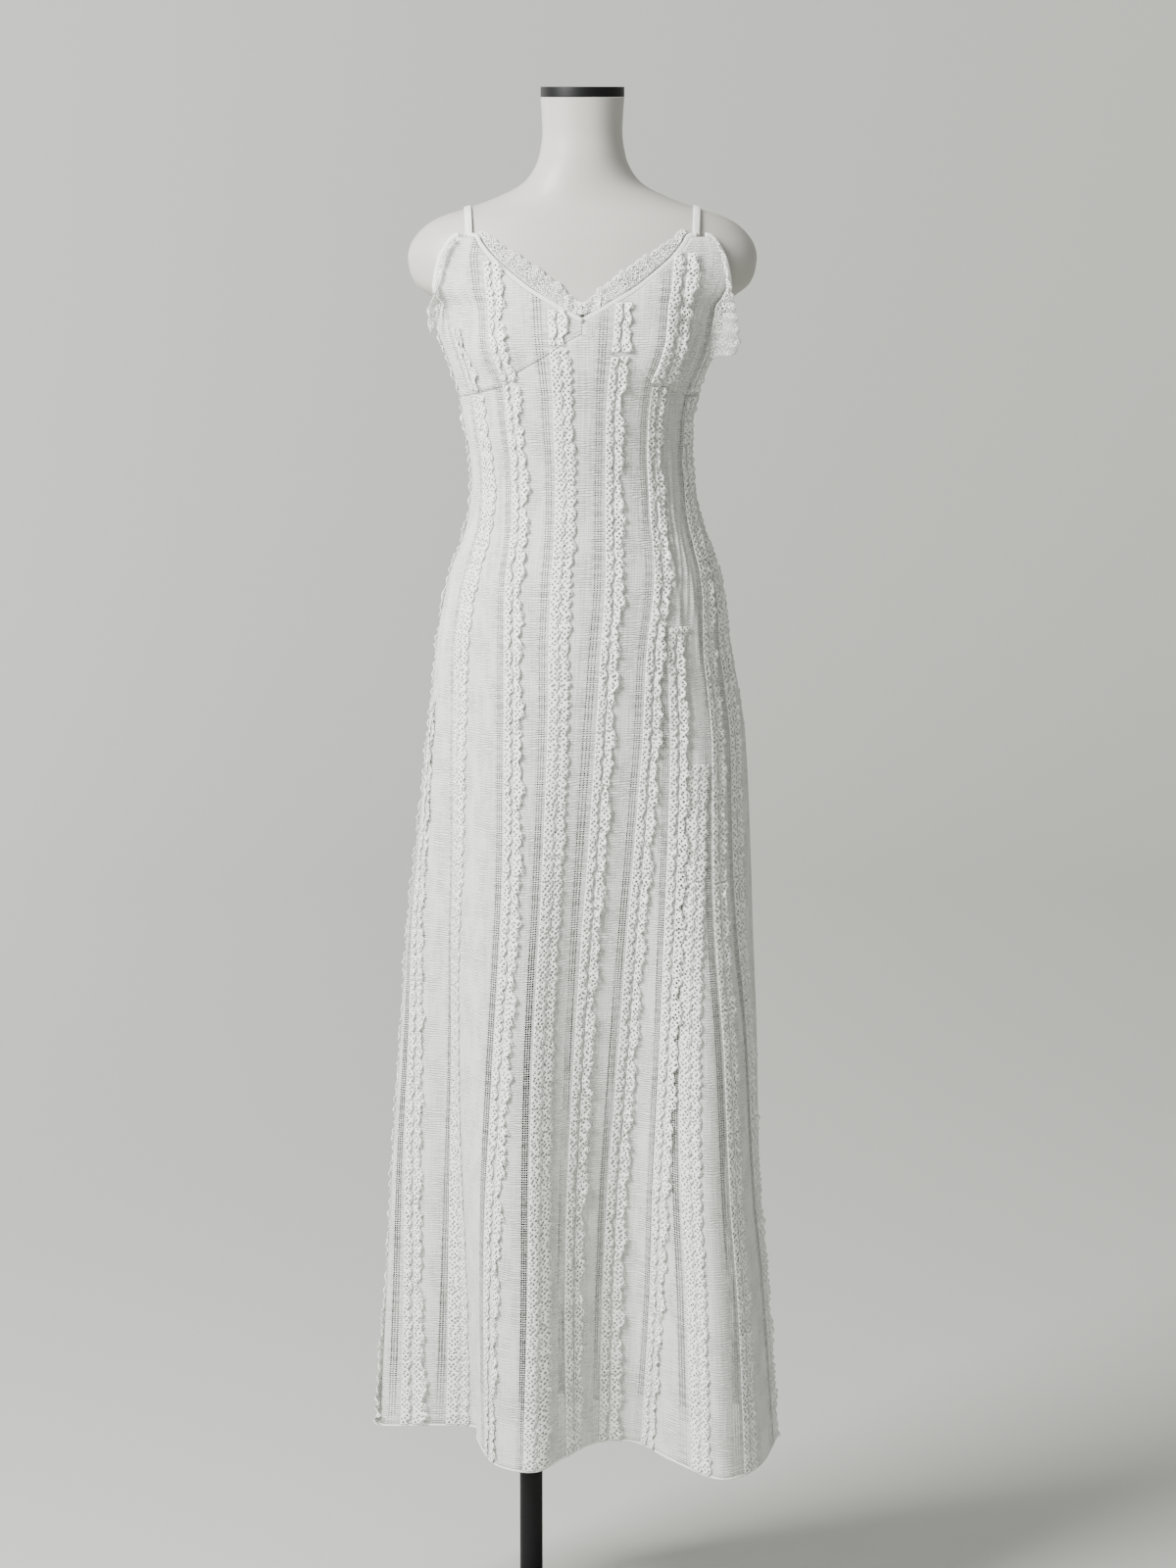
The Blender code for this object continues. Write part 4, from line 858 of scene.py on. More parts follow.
def cloth_shell(seams, heights_of, thickness, lift=None):
    """A panel of gauze between lines down the cloth, with a map of its weave and one of the ruffles beside
    it. Each line comes with the height below which a ruffle lies on it."""
    lines = [line for line, _ in seams]
    turns_at_top = [line(np.array(FREE_TURN_HEIGHT)) for line in lines]
    panels = []
    for index in range(len(lines) - 1):
        levels = np.array(THREAD_HEIGHTS)
        widest = ((lines[index + 1](levels) - lines[index](levels)) * girth(levels)).max()
        count = max(3, math.ceil(widest / CLOTH_STEP))
        panels += [(index, step / count, (step + 1) / count) for step in range(count)]
    shares = [(index, low) for index, low, _ in panels] + [(len(lines) - 2, 1.0)]
    top_turn = np.array([turns_at_top[i] * (1 - s) + turns_at_top[i + 1] * s for i, s in shares])
    heights = heights_of(top_turn)
    turn = np.empty_like(heights)
    for column, (index, share) in enumerate(shares):
        first, last = lines[index](heights[:, column]), lines[index + 1](heights[:, column])
        turn[:, column] = first * (1 - share) + last * share
    outer, aim = draped_points(turn, heights)
    if lift is not None:
        outer = outer + aim * lift(heights, top_turn)[..., None]
    wide = np.empty((len(heights), len(panels)))
    for column, (index, _, _) in enumerate(panels):
        level = heights[:, column]
        gap = lines[index + 1](level) - lines[index](level)
        wide[:, column] = gap * girth(np.minimum(level, FREE_TURN_HEIGHT))
    order, first, last = np.array(panels).T
    starts = np.array([seams[index + 1][1] for index, _, _ in panels])
    plain = (heights[:, :-1] > starts[None, :]) * 1.0
    maps = {
        "weave": tuple(
            np.stack(np.broadcast_arrays((order + share)[None, :] * PANEL_CUT, level), axis=-1)
            for share, level in ((first, heights[:, :-1]), (last, heights[:, 1:]))
        ),
        "beside": tuple(
            np.stack((wide * share[None, :], wide * (1 - share)[None, :] + plain), axis=-1)
            for share in (first, last)
        ),
    }
    return shell_arrays(outer, outer - aim * thickness, maps)


def lengths_along(points):
    """How far along a line of points each of them lies."""
    return np.concatenate(([0.0], np.cumsum(np.linalg.norm(np.diff(points, axis=0), axis=-1))))


def lace_maps(width, along, across):
    """The net's map, and a map of how far each place is from the nearer long edge."""
    wide = width[:, None] * across[None, :]
    laid = np.stack((wide, np.repeat(along[:, None], len(across), axis=1)), axis=-1)
    edge = np.minimum(wide, width[:, None] - wide)
    rim = np.stack((edge, np.zeros_like(edge)), axis=-1)
    return {"lace": (laid[:, :-1], laid[:, 1:]), "rim": (rim[:, :-1], rim[:, 1:])}


def wave(places, pitch, phase=0.0):
    return np.sin(2 * np.pi * places / pitch + phase)


def scallops(places, pitch, phase=0.0):
    """Round arches between 0 and 1, one after the other."""
    return np.abs(np.sin(np.pi * places / pitch + phase)) ** 0.7


def lace_band(line, levels, sewn, free, lift, swing, settings, phase, flare=0.0, size=1.0):
    """One band of gathered lace beside a line down the cloth, sewn on at its left and wavy at its right."""
    turn = line(levels)
    across = np.linspace(0, 1, 5)
    span = smooth_points(turn + 0.004, levels) - smooth_points(turn - 0.004, levels)
    around = girth(np.minimum(levels, FREE_TURN_HEIGHT))
    reach = np.clip(np.linalg.norm(span, axis=-1) / 0.008, 0.75 * around, 1.6 * around)
    bend = levels + 0.006 * wave(levels, 0.113, 1.9 * phase)
    slow = (
        wave(bend, 0.047, phase) + 0.8 * wave(bend, 0.083, 2.3 * phase) + 0.5 * wave(bend, 0.029, 3.1 * phase)
    ) / 1.5
    cross = (wave(bend, 0.041, 1.7 * phase + 1.0) + 0.6 * wave(bend, 0.063, phase)) / 1.3
    frill = flare * np.clip(1 - (levels - HEM) / 0.17, 0, 1)
    bumps = scallops(bend, settings.scallop, phase)
    wider = size * curve(((HEM, 1.32), (0.9, 1.10), (1.4, 1.0)), levels)
    left = sewn * wider
    end = free * wider * (1 + 1.4 * frill) + swing * slow + 0.0044 * (bumps - 0.6)
    end = end + 0.006 * frill * wave(levels, 0.013, phase)
    high = lift * size * (1 + 2.2 * frill) + 0.40 * swing * cross + 0.0006 * (bumps - 0.5)
    high += (0.0002 + 0.34 * swing) * wave(bend, 0.0094, 1.4 * slow + 5 * phase)
    width = end - left
    tuck = 0.0003
    rise = tuck + np.maximum(high, tuck + 0.0004)[:, None] * across[None, :] ** 1.5
    places = turn[:, None] + (left[:, None] + width[:, None] * across[None, :]) / reach[:, None]
    outer, aim = draped_points(places, np.repeat(levels[:, None], len(across), axis=1))
    outer = outer + aim * (rise + settings.thickness)[..., None]
    firm = settings.thickness * (0.8 + 0.9 * (across > 0.99))
    maps = lace_maps(width, lengths_along(outer[:, 0]), across)
    return shell_arrays(outer, outer - aim * firm[None, :, None], maps)


# For each of a ruffle's two bands, in metres: where it is sewn on and where it ends beside the thread, how
# far it stands off, and how much it waves. The gathered ruffles first, then the wide flat ones.
GATHERED = ((-0.0066, 0.0004, 0.0007, 0.0014), (0.0032, 0.0108, 0.0022, 0.0026))
FLAT = ((-0.0068, 0.0036, 0.0002, 0.0004), (0.0030, 0.0136, 0.0006, 0.0010))
FLAT_RUFFLES = ("ruffle_02", "ruffle_04", "ruffle_08")

# How much the free edge of a ruffle flares out just above the hem
FLARES = {"ruffle_01": 0.35, "ruffle_20": 1.0}


def ruffle_arrays(line, top, low, phase, settings, flat=False, flare=0.0, size=1.0):
    """Both bands of one upright ruffle, from its foot up to its top."""
    levels = np.linspace(low, top, max(4, round((top - low) / LACE_STEP)))
    bands = FLAT if flat else GATHERED
    return joined([
        lace_band(line, levels, *bands[0], settings, phase, 0.0, size),
        lace_band(line, levels, *bands[1], settings, 1.3 * phase + 2.0, flare, size),
    ])


def edge_frames(turns):
    """Points, directions off the cloth and directions outward along the upper edge of the dress."""
    heights = top_edge(turns)
    points = smooth_points(turns, heights)
    aim = cloth_normals(turns, heights)
    run = unit(np.gradient(points, axis=0))
    off = unit(np.cross(aim, run))
    off = np.where(off[:, 2:] < 0, -off, off)
    return points, aim, off


def clear_shift(ring, aim, clearance):
    """How far each ring of points has to move along its aim to stand clear of the form."""
    away = ring[..., :2]
    distance = np.linalg.norm(away, axis=-1)
    shortage = form_reach(ring[..., 0], ring[..., 1], ring[..., 2]) + clearance - distance
    slant = np.maximum(0.3, (away * aim[:, None, :2]).sum(-1) / distance)
    return np.maximum(0.0, (shortage / slant).max(axis=1))


def rounded_ring(half_wide, half_thick, sides=12, power=0.7):
    """A rounded oblong: shares of the width and of the thickness for each corner."""
    angle = 2 * np.pi * np.arange(sides) / sides
    wide = np.sign(np.cos(angle)) * np.abs(np.cos(angle)) ** power * half_wide
    thick = np.sign(np.sin(angle)) * np.abs(np.sin(angle)) ** power * half_thick
    return wide, thick


def tube_arrays(rings):
    """Points and faces of a closed tube through rings of points, with flat ends."""
    count, sides = rings.shape[:2]
    ring, side = np.meshgrid(np.arange(count - 1), np.arange(sides), indexing="ij")
    a = (ring * sides + side).ravel()
    b = (ring * sides + (side + 1) % sides).ravel()
    quads = np.stack((a, b, b + sides, a + sides), axis=1).tolist()
    quads.append(list(range(sides))[::-1])
    quads.append(list(range((count - 1) * sides, count * sides)))
    return rings.reshape(-1, 3), quads


def outward(piece):
    """Turns a closed mesh's faces outward."""
    mesh = piece.data
    mesh.calc_loop_triangles()
    co = np.empty(len(mesh.vertices) * 3)
    mesh.vertices.foreach_get("co", co)
    corners = np.empty(len(mesh.loop_triangles) * 3, dtype=np.int32)
    mesh.loop_triangles.foreach_get("vertices", corners)
    a, b, c = (co.reshape(-1, 3)[corners.reshape(-1, 3)[:, i]] for i in range(3))
    if (a * np.cross(b, c)).sum() < 0:
        mesh.flip_normals()
    return piece


def binding_rings(turns, over=0.0):
    points, aim, off = edge_frames(turns)
    wide, thick = rounded_ring(BINDING_WIDTH / 2, BINDING_THICKNESS / 2)
    waver = 1 + 0.05 * np.sin(190 * turns + 1.0)
    centre = points + off * BINDING_WIDTH / 2 - aim * 0.00075
    ring = centre[:, None] + off[:, None] * (wide[None, :] * waver[:, None])[..., None]
    ring = ring + aim[:, None] * thick[None, :, None]
    shift = clear_shift(ring, aim, FORM_CLEARANCE) + over
    return ring + aim[:, None] * shift[:, None, None], aim, off


def strap_points(x, angle):
    """The form's surface over (x, 0, STRAP_AXIS), at angles from the front over the top."""
    low, high = np.zeros_like(x), np.full_like(x, 0.2)
    for _ in range(40):
        reach = (low + high) / 2
        y, z = -reach * np.cos(angle), STRAP_AXIS + reach * np.sin(angle)
        inside = (z < FORM_SECTIONS[-1][0]) & (form_reach(x, y, z) > np.hypot(x, y))
        low, high = np.where(inside, reach, low), np.where(inside, high, reach)
    return np.stack((x, -low * np.cos(angle), STRAP_AXIS + low * np.sin(angle)), axis=-1)


def carried(piece, slot, *nodes):
    """The piece rides on the frame and stands for the CAD nodes, which are hidden. The slot is not used."""
    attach(piece, "root")
    if nodes:
        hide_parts(*nodes)
    return piece


def tube_piece(name, rings, material, slot, *nodes):
    points, faces = tube_arrays(rings)
    return carried(outward(mesh_object(name, points, faces, material)), slot, *nodes)


def turned_rings(profile, sides=96, centre=0.0):
    """Rings of points round the upright line through (centre, 0), from (radius, height) points."""
    profile = np.asarray(profile, float)
    angle = 2 * np.pi * np.arange(sides) / sides
    x = centre + profile[:, :1] * np.cos(angle)[None, :]
    y = profile[:, :1] * np.sin(angle)[None, :]
    return np.stack((x, y, np.repeat(profile[:, 1:], sides, axis=1)), axis=-1)


def enamelled(name, node, profile, centre=0.0, sides=96):
    """A turned solid of the stand, in black enamel."""
    rings = turned_rings(profile, sides, centre)
    piece = tube_piece(name, rings, "black stoved enamel", "black_enamel", node)
    piece.data.set_sharp_from_angle(angle=math.radians(50))


def rounded_corner(radius, height, size):
    """(radius, height) points round the upper outer corner of a turned profile."""
    angles = np.radians(np.linspace(0, 90, 6))
    return [(radius - size + size * math.cos(a), height - size + size * math.sin(a)) for a in angles]


def path_object(name, paths, closed=False):
    """Loose edges along paths of points, for a node tree to follow."""
    points, edges = [], []
    for path in paths:
        first = len(points)
        points += [tuple(point) for point in path]
        edges += [(first + i, first + i + 1) for i in range(len(path) - 1)]
        if closed:
            edges.append((len(points) - 1, first))
    mesh = bpy.data.meshes.new(name)
    mesh.from_pydata(points, edges, [])
    return added(name, mesh)


def opened_tree(name, sizes):
    """A Geometry Nodes tree with named sizes and a Material, its inputs, and the curve along its path."""
    tree = bpy.data.node_groups.new(name, "GeometryNodeTree")
    tree.interface.new_socket("Geometry", in_out="INPUT", socket_type="NodeSocketGeometry")
    for key, value in sizes.items():
        kind = "NodeSocketInt" if isinstance(value, int) else "NodeSocketFloat"
        tree.interface.new_socket(key, in_out="INPUT", socket_type=kind).default_value = value
    tree.interface.new_socket("Material", in_out="INPUT", socket_type="NodeSocketMaterial")
    tree.interface.new_socket("Geometry", in_out="OUTPUT", socket_type="NodeSocketGeometry")
    given = add_node(tree, "NodeGroupInput").outputs
    return tree, given, add_node(tree, "GeometryNodeMeshToCurve", {"Mesh": given["Geometry"]}).outputs[0]


def closed_tree(tree, geometry, material):
    """The tree, ended with plain smooth geometry in its finish."""
    real = add_node(tree, "GeometryNodeRealizeInstances", {"Geometry": geometry}).outputs[0]
    smooth = add_node(tree, "GeometryNodeSetShadeSmooth", {"Geometry": real}).outputs[0]
    dressed = add_node(tree, "GeometryNodeSetMaterial", {"Geometry": smooth, "Material": material}).outputs[0]
    add_node(tree, "NodeGroupOutput", {"Geometry": dressed})
    return tree


def stitch_tree():
    """A row of stitches along each path."""
    tree, given, path = opened_tree("row of stitches", {
        "Spacing": 0.003, "Length": 0.002, "Radius": 0.0003, "Unevenness": 0.12, "Seed": 7})
    spots = add_node(
        tree, "GeometryNodeCurveToPoints", {"Curve": path, "Length": given["Spacing"]}, mode="LENGTH").outputs
    less = maths(tree, "SUBTRACT", 1.0, given["Unevenness"])
    more = maths(tree, "ADD", 1.0, given["Unevenness"])
    uneven = add_node(tree, "FunctionNodeRandomValue", {
        2: less, 3: more, "Seed": given["Seed"]}, data_type="FLOAT").outputs[1]
    long = maths(tree, "MULTIPLY", maths(tree, "MULTIPLY", given["Length"], 0.5), uneven)
    size = add_node(tree, "ShaderNodeCombineXYZ", {
        0: given["Radius"], 1: given["Radius"], 2: long}).outputs[0]
    stitch = add_node(tree, "GeometryNodeMeshIcoSphere", {"Radius": 1.0, "Subdivisions": 1}).outputs[0]
    row = add_node(tree, "GeometryNodeInstanceOnPoints", {
        "Points": spots["Points"], "Instance": stitch, "Rotation": spots["Rotation"], "Scale": size})
    return closed_tree(tree, row.outputs[0], given["Material"])


def cord_tree():
    """A round cord along each path."""
    tree, given, path = opened_tree("round cord", {"Radius": 0.001, "Sides": 8})
    ring = add_node(tree, "GeometryNodeCurvePrimitiveCircle", {
        "Resolution": given["Sides"], "Radius": given["Radius"]}).outputs[0]
    cord = add_node(
        tree, "GeometryNodeCurveToMesh", {"Curve": path, "Profile Curve": ring, "Fill Caps": True}).outputs[0]
    return closed_tree(tree, cord, given["Material"])


def grown(path, tree, inputs, material):
    """The plain mesh that a node tree makes on a path object, which it removes."""
    modifier = path.modifiers.new(tree.name, "NODES")
    modifier.node_group = tree
    sockets = {item.name: item.identifier for item in tree.interface.items_tree if item.in_out == "INPUT"}
    for name, value in inputs.items():
        modifier[sockets[name]] = value
    modifier[sockets["Material"]] = material_for(material)
    depsgraph = bpy.context.evaluated_depsgraph_get()
    mesh = bpy.data.meshes.new_from_object(path.evaluated_get(depsgraph))
    name = path.name
    bpy.data.objects.remove(path, do_unlink=True)
    if not mesh.polygons:
        raise RuntimeError(f"{name} came out empty")
    mesh.name = name
    return added(name, mesh)


class DRESS_OT_stage(bpy.types.Operator):
    """Makes the pale floor and backdrop, the soft lights and the camera"""

    bl_idname = "dress.make_stage"
    bl_label = "Stage"

    def execute(self, context):
        settings = context.scene.dress_stage
        # A floor that curves up all round, so that every side of the dress is seen against plain paint
        floor_radius, bend, wall_top = 5.0, 4.5, 4.8
        profile = [(0.001, 0.0), (1.0, 0.0), (3.0, 0.0), (floor_radius, 0.0)]
        profile += [
            (floor_radius + bend * math.sin(a), bend - bend * math.cos(a))
            for a in np.linspace(0.06, math.pi / 2, 24)
        ]
        points, faces = tube_arrays(turned_rings(profile + [(floor_radius + bend, wall_top)]))
        mesh = bpy.data.meshes.new("backdrop")
        mesh.from_pydata(points.tolist(), [], faces[:-1])
        mesh.shade_smooth()
        paint = Finish("matt pale paint", 1.0, specular=0.0)
        paint.shader.inputs["Base Color"].default_value = (*settings.backdrop, 1.0)
        mesh.materials.append(paint.material)
        added("backdrop", mesh)

        world = bpy.data.worlds.new("soft room light")
        world.use_nodes = True
        world.node_tree.nodes["Background"].inputs["Color"].default_value = (1.0, 1.0, 0.985, 1.0)
        world.node_tree.nodes["Background"].inputs["Strength"].default_value = settings.fill
        context.scene.world = world
        for name, place, aim, size, share, colour in (
            ("window light", (-2.2, -1.8, 3.1), (0.0, 0.0, 1.5), (1.5, 1.8), 1.0, (0.985, 0.99, 0.98)),
            ("front light", (-0.8, -5.6, 3.2), (0.0, 0.0, 1.3), (3.0, 2.0), 0.05, (1.0, 1.0, 0.98)),
            ("backdrop light", (-6.2, 2.6, 3.8), (-4.6, 9.0, 2.2), (2.0, 3.0), 2.8, (0.985, 0.99, 0.98)),
        ):
            lamp = bpy.data.lights.new(name, "AREA")
            lamp.shape = "RECTANGLE"
            lamp.size, lamp.size_y = size
            lamp.energy = share * settings.key
            lamp.color = colour
            light = added(name, lamp)
            light.location = place
            light.rotation_euler = (Vector(aim) - Vector(place)).to_track_quat("-Z", "Y").to_euler()
            light.visible_camera = False

        # The photograph's camera: 5 m away at the height of the neck cap, looking a little down
        lens = bpy.data.cameras.new("camera")
        lens.sensor_width = 36.0
        lens.lens = 105.39
        camera = added("camera", lens)
        camera.location = (0.006, -5.0, 1.718)
        camera.rotation_euler = (math.radians(90 - 8.5595), 0.0, 0.0)
        context.scene.camera = camera
        return {"FINISHED"}


class DRESS_OT_form(bpy.types.Operator):
    """Makes the limbless form and its neck cap"""

    bl_idname = "dress.make_form"
    bl_label = "Form"

    def execute(self, context):
        heights = np.linspace(FORM_SECTIONS[0][0], FORM_SECTIONS[-1][0], FORM_ROWS)
        turn, z = np.meshgrid(np.arange(FORM_SIDES) / FORM_SIDES, heights)
        half_width, front, back = (curve(column, z) for column in FORM_CURVES)
        x, y = section_points(turn, half_width, half_width, front, back)
        stretch = 1 + bust_rise(x, y, z) / np.hypot(x, y)
        rings = np.stack((x * stretch, y * stretch, z), axis=-1)
        form = tube_piece("form_shell", rings, "sprayed moulded shell", "form_shell", "form_torso")
        form.data.set_sharp_from_angle(angle=math.radians(60))
        profile = [(NECK_CAP_RADIUS, NECK_CAP_LOW)] + rounded_corner(NECK_CAP_RADIUS, NECK_CAP_TOP, 0.0010)
        enamelled("neck_cap_enamelled", "neck_cap", profile, sides=128)
        return {"FINISHED"}


class DRESS_OT_stand(bpy.types.Operator):
    """Makes the base plate, the socket and the pole"""

    bl_idname = "dress.make_stand"
    bl_label = "Stand"

    def execute(self, context):
        bevel = 0.0005
        low, high = BASE_THICKNESS + 0.0003, BASE_THICKNESS + SOCKET_HEIGHT
        profile = [(BASE_RADIUS - bevel, 0.0), (BASE_RADIUS, bevel)]
        profile += rounded_corner(BASE_RADIUS, BASE_THICKNESS, 0.002)
        enamelled("base_plate", "stand_base", profile, sides=160)
        profile = [(SOCKET_RADIUS, low)] + rounded_corner(SOCKET_RADIUS, high, 0.0025) + [(POLE_RADIUS, high)]
        enamelled("pole_socket", "stand_socket", profile, POLE_X)
        enamelled("pole_tube", "stand_pole", [(POLE_RADIUS, low), (POLE_RADIUS, POLE_TOP)], POLE_X)
        return {"FINISHED"}


class DRESS_OT_gauze(bpy.types.Operator):
    """Makes the front, the back and the two cups of crinkled gauze"""

    bl_idname = "dress.make_gauze"
    bl_label = "Gauze Panels"

    def execute(self, context):
        thickness = context.scene.dress_gauze.thickness
        ends = [(upright_line(turn), NO_RUFFLE) for turn in (-0.25, 0.0, 0.25, 0.75)]
        front = [ends[0]] + [(thread_line(row[1]), row[2]) for row in FRONT_RUFFLES] + [ends[2]]
        back = [ends[2]] + [(thread_line(row[1]), row[2]) for row in BACK_RUFFLES] + [ends[3]]
        cups = [(line, start if start == AT_SEAM else NO_RUFFLE) for line, start in front]
        left = cups[:6] + [ends[1]]
        right = [ends[1]] + cups[6:]

        def seam_lift(heights, turn):
            """The seam allowance lifts the lower edge of the cups a little."""
            above = (heights - cup_seam(turn)[None, :]) / SEAM_HEIGHT
            return SEAM_LIFT * np.exp(-np.clip(above, 0, None) ** 2)

        for name, lines, heights, lift, node in (
            ("front_gauze_left", front[:5], body_heights, None, "front_panel_left"),
            ("front_gauze_centre", front[4:8], body_heights, None, "front_panel_centre"),
            ("front_gauze_right", front[7:], body_heights, None, "front_panel_right"),
            ("back_gauze_right", back[:4], back_heights, None, "back_panel_right"),
            ("back_gauze_inner_right", back[3:6], back_heights, None, "back_panel_inner_right"),
            ("back_gauze_inner_left", back[5:8], back_heights, None, "back_panel_inner_left"),
            ("back_gauze_left", back[7:], back_heights, None, "back_panel_left"),
            ("cup_gauze_left", left, cup_heights, seam_lift, "front_cup_left"),
            ("cup_gauze_right", right, cup_heights, seam_lift, "front_cup_right"),
        ):
            points, faces, maps = cloth_shell(lines, heights, thickness, lift)
            piece = mesh_object(name, points, faces, "crinkled cotton gauze", maps)
            carried(piece, "cotton_gauze", node)
        return {"FINISHED"}


class DRESS_OT_ruffles(bpy.types.Operator):
    """Makes the upright double ruffles of lace on the skirt, the bodice and the cups"""

    bl_idname = "dress.make_ruffles"
    bl_label = "Lace Ruffles"

    def execute(self, context):
        settings = context.scene.dress_lace
        for index, (name, turns, start) in enumerate(FRONT_RUFFLES + BACK_RUFFLES):
            if start == NO_RUFFLE:
                continue
            line = thread_line(turns)
            front = index < len(FRONT_RUFFLES)
            upper = float(line(np.array(FREE_TURN_HEIGHT)))
            finish = float(cup_seam(upper) if front else top_edge(upper)) - 0.0025
            self.add(name, ruffle_arrays(
                line, min(start, finish), HEM + 0.0015, 1.7 * index + 0.4, settings, name in FLAT_RUFFLES,
                FLARES.get(name, 0.0)))
            if front and start == AT_SEAM:
                top = UNDER_ARM if name == "ruffle_02" else float(top_edge(upper)) - 0.003
                self.add("cup_" + name, ruffle_arrays(
                    line, top, float(cup_seam(upper)) + 0.002, 2.9 * index, settings,
                    size=1.55 if name == "ruffle_06" else 1.0))
        return {"FINISHED"}

    def add(self, node, arrays):
        points, faces, maps = arrays
        carried(mesh_object(node + "_lace", points, faces, "cotton lace", maps), "cotton_lace", node)


class DRESS_OT_bindings(bpy.types.Operator):
    """Makes the narrow bindings of the neckline, the armholes and the back, and the two straps"""

    bl_idname = "dress.make_bindings"
    bl_label = "Bindings and Straps"

    def execute(self, context):
        # The left end lies over the right one at the point of the V, by so many metres
        for name, first, last, over in (
            ("neck_binding_left", 0.0, -NECK_PEAK - 0.008, 0.0016),
            ("neck_binding_right", 0.0, NECK_PEAK + 0.008, 0.0),
            ("armhole_binding_left", -ARM_PEAK + 0.004, -0.25, 0.0),
            ("armhole_binding_right", ARM_PEAK - 0.004, 0.25, 0.0),
            ("back_binding", 0.25, 0.75, 0.0),
        ):
            turns = np.linspace(first, last, max(40, round(abs(last - first) * 420)))
            rings = binding_rings(turns, np.exp(-(np.abs(turns) / 0.012) ** 2) * over)[0]
            tube_piece(name + "_tape", rings, "cotton bias tape", "cotton_binding", name)
        for name, side in (("strap_left", -1), ("strap_right", 1)):
            tube_piece(name + "_tape", self.strap_rings(side), "cotton bias tape", "cotton_binding", name)
        return {"FINISHED"}

    def strap_rings(self, side):
        share = np.linspace(0, 1, STRAP_STEPS)
        angle = np.radians(STRAP_START + (STRAP_END - STRAP_START) * share)
        middle = curve(STRAP_LINE, share)
        first, last = (
            strap_points(side * (middle + side * aside), angle)
            for aside in (-STRAP_WIDTH / 2, STRAP_WIDTH / 2)
        )
        out = unit(np.cross(unit(np.gradient(first, axis=0)), last - first))
        axis = np.stack((first[:, 0], np.zeros(STRAP_STEPS), np.full(STRAP_STEPS, STRAP_AXIS)), axis=-1)
        out = np.where(dot(out, first - axis) < 0, -out, out)
        ends = np.clip(1 - np.minimum(share, 1 - share) / 0.2, 0, None)
        wide, thick = rounded_ring(0.5, STRAP_THICKNESS / 2)
        mix = 0.5 + wide
        rings = first[:, None] * (1 - mix)[None, :, None] + last[:, None] * mix[None, :, None]
        lift = STRAP_GAP + STRAP_END_RISE * ends + STRAP_THICKNESS / 2
        return rings + out[:, None] * (lift[:, None] + thick[None, :])[..., None]


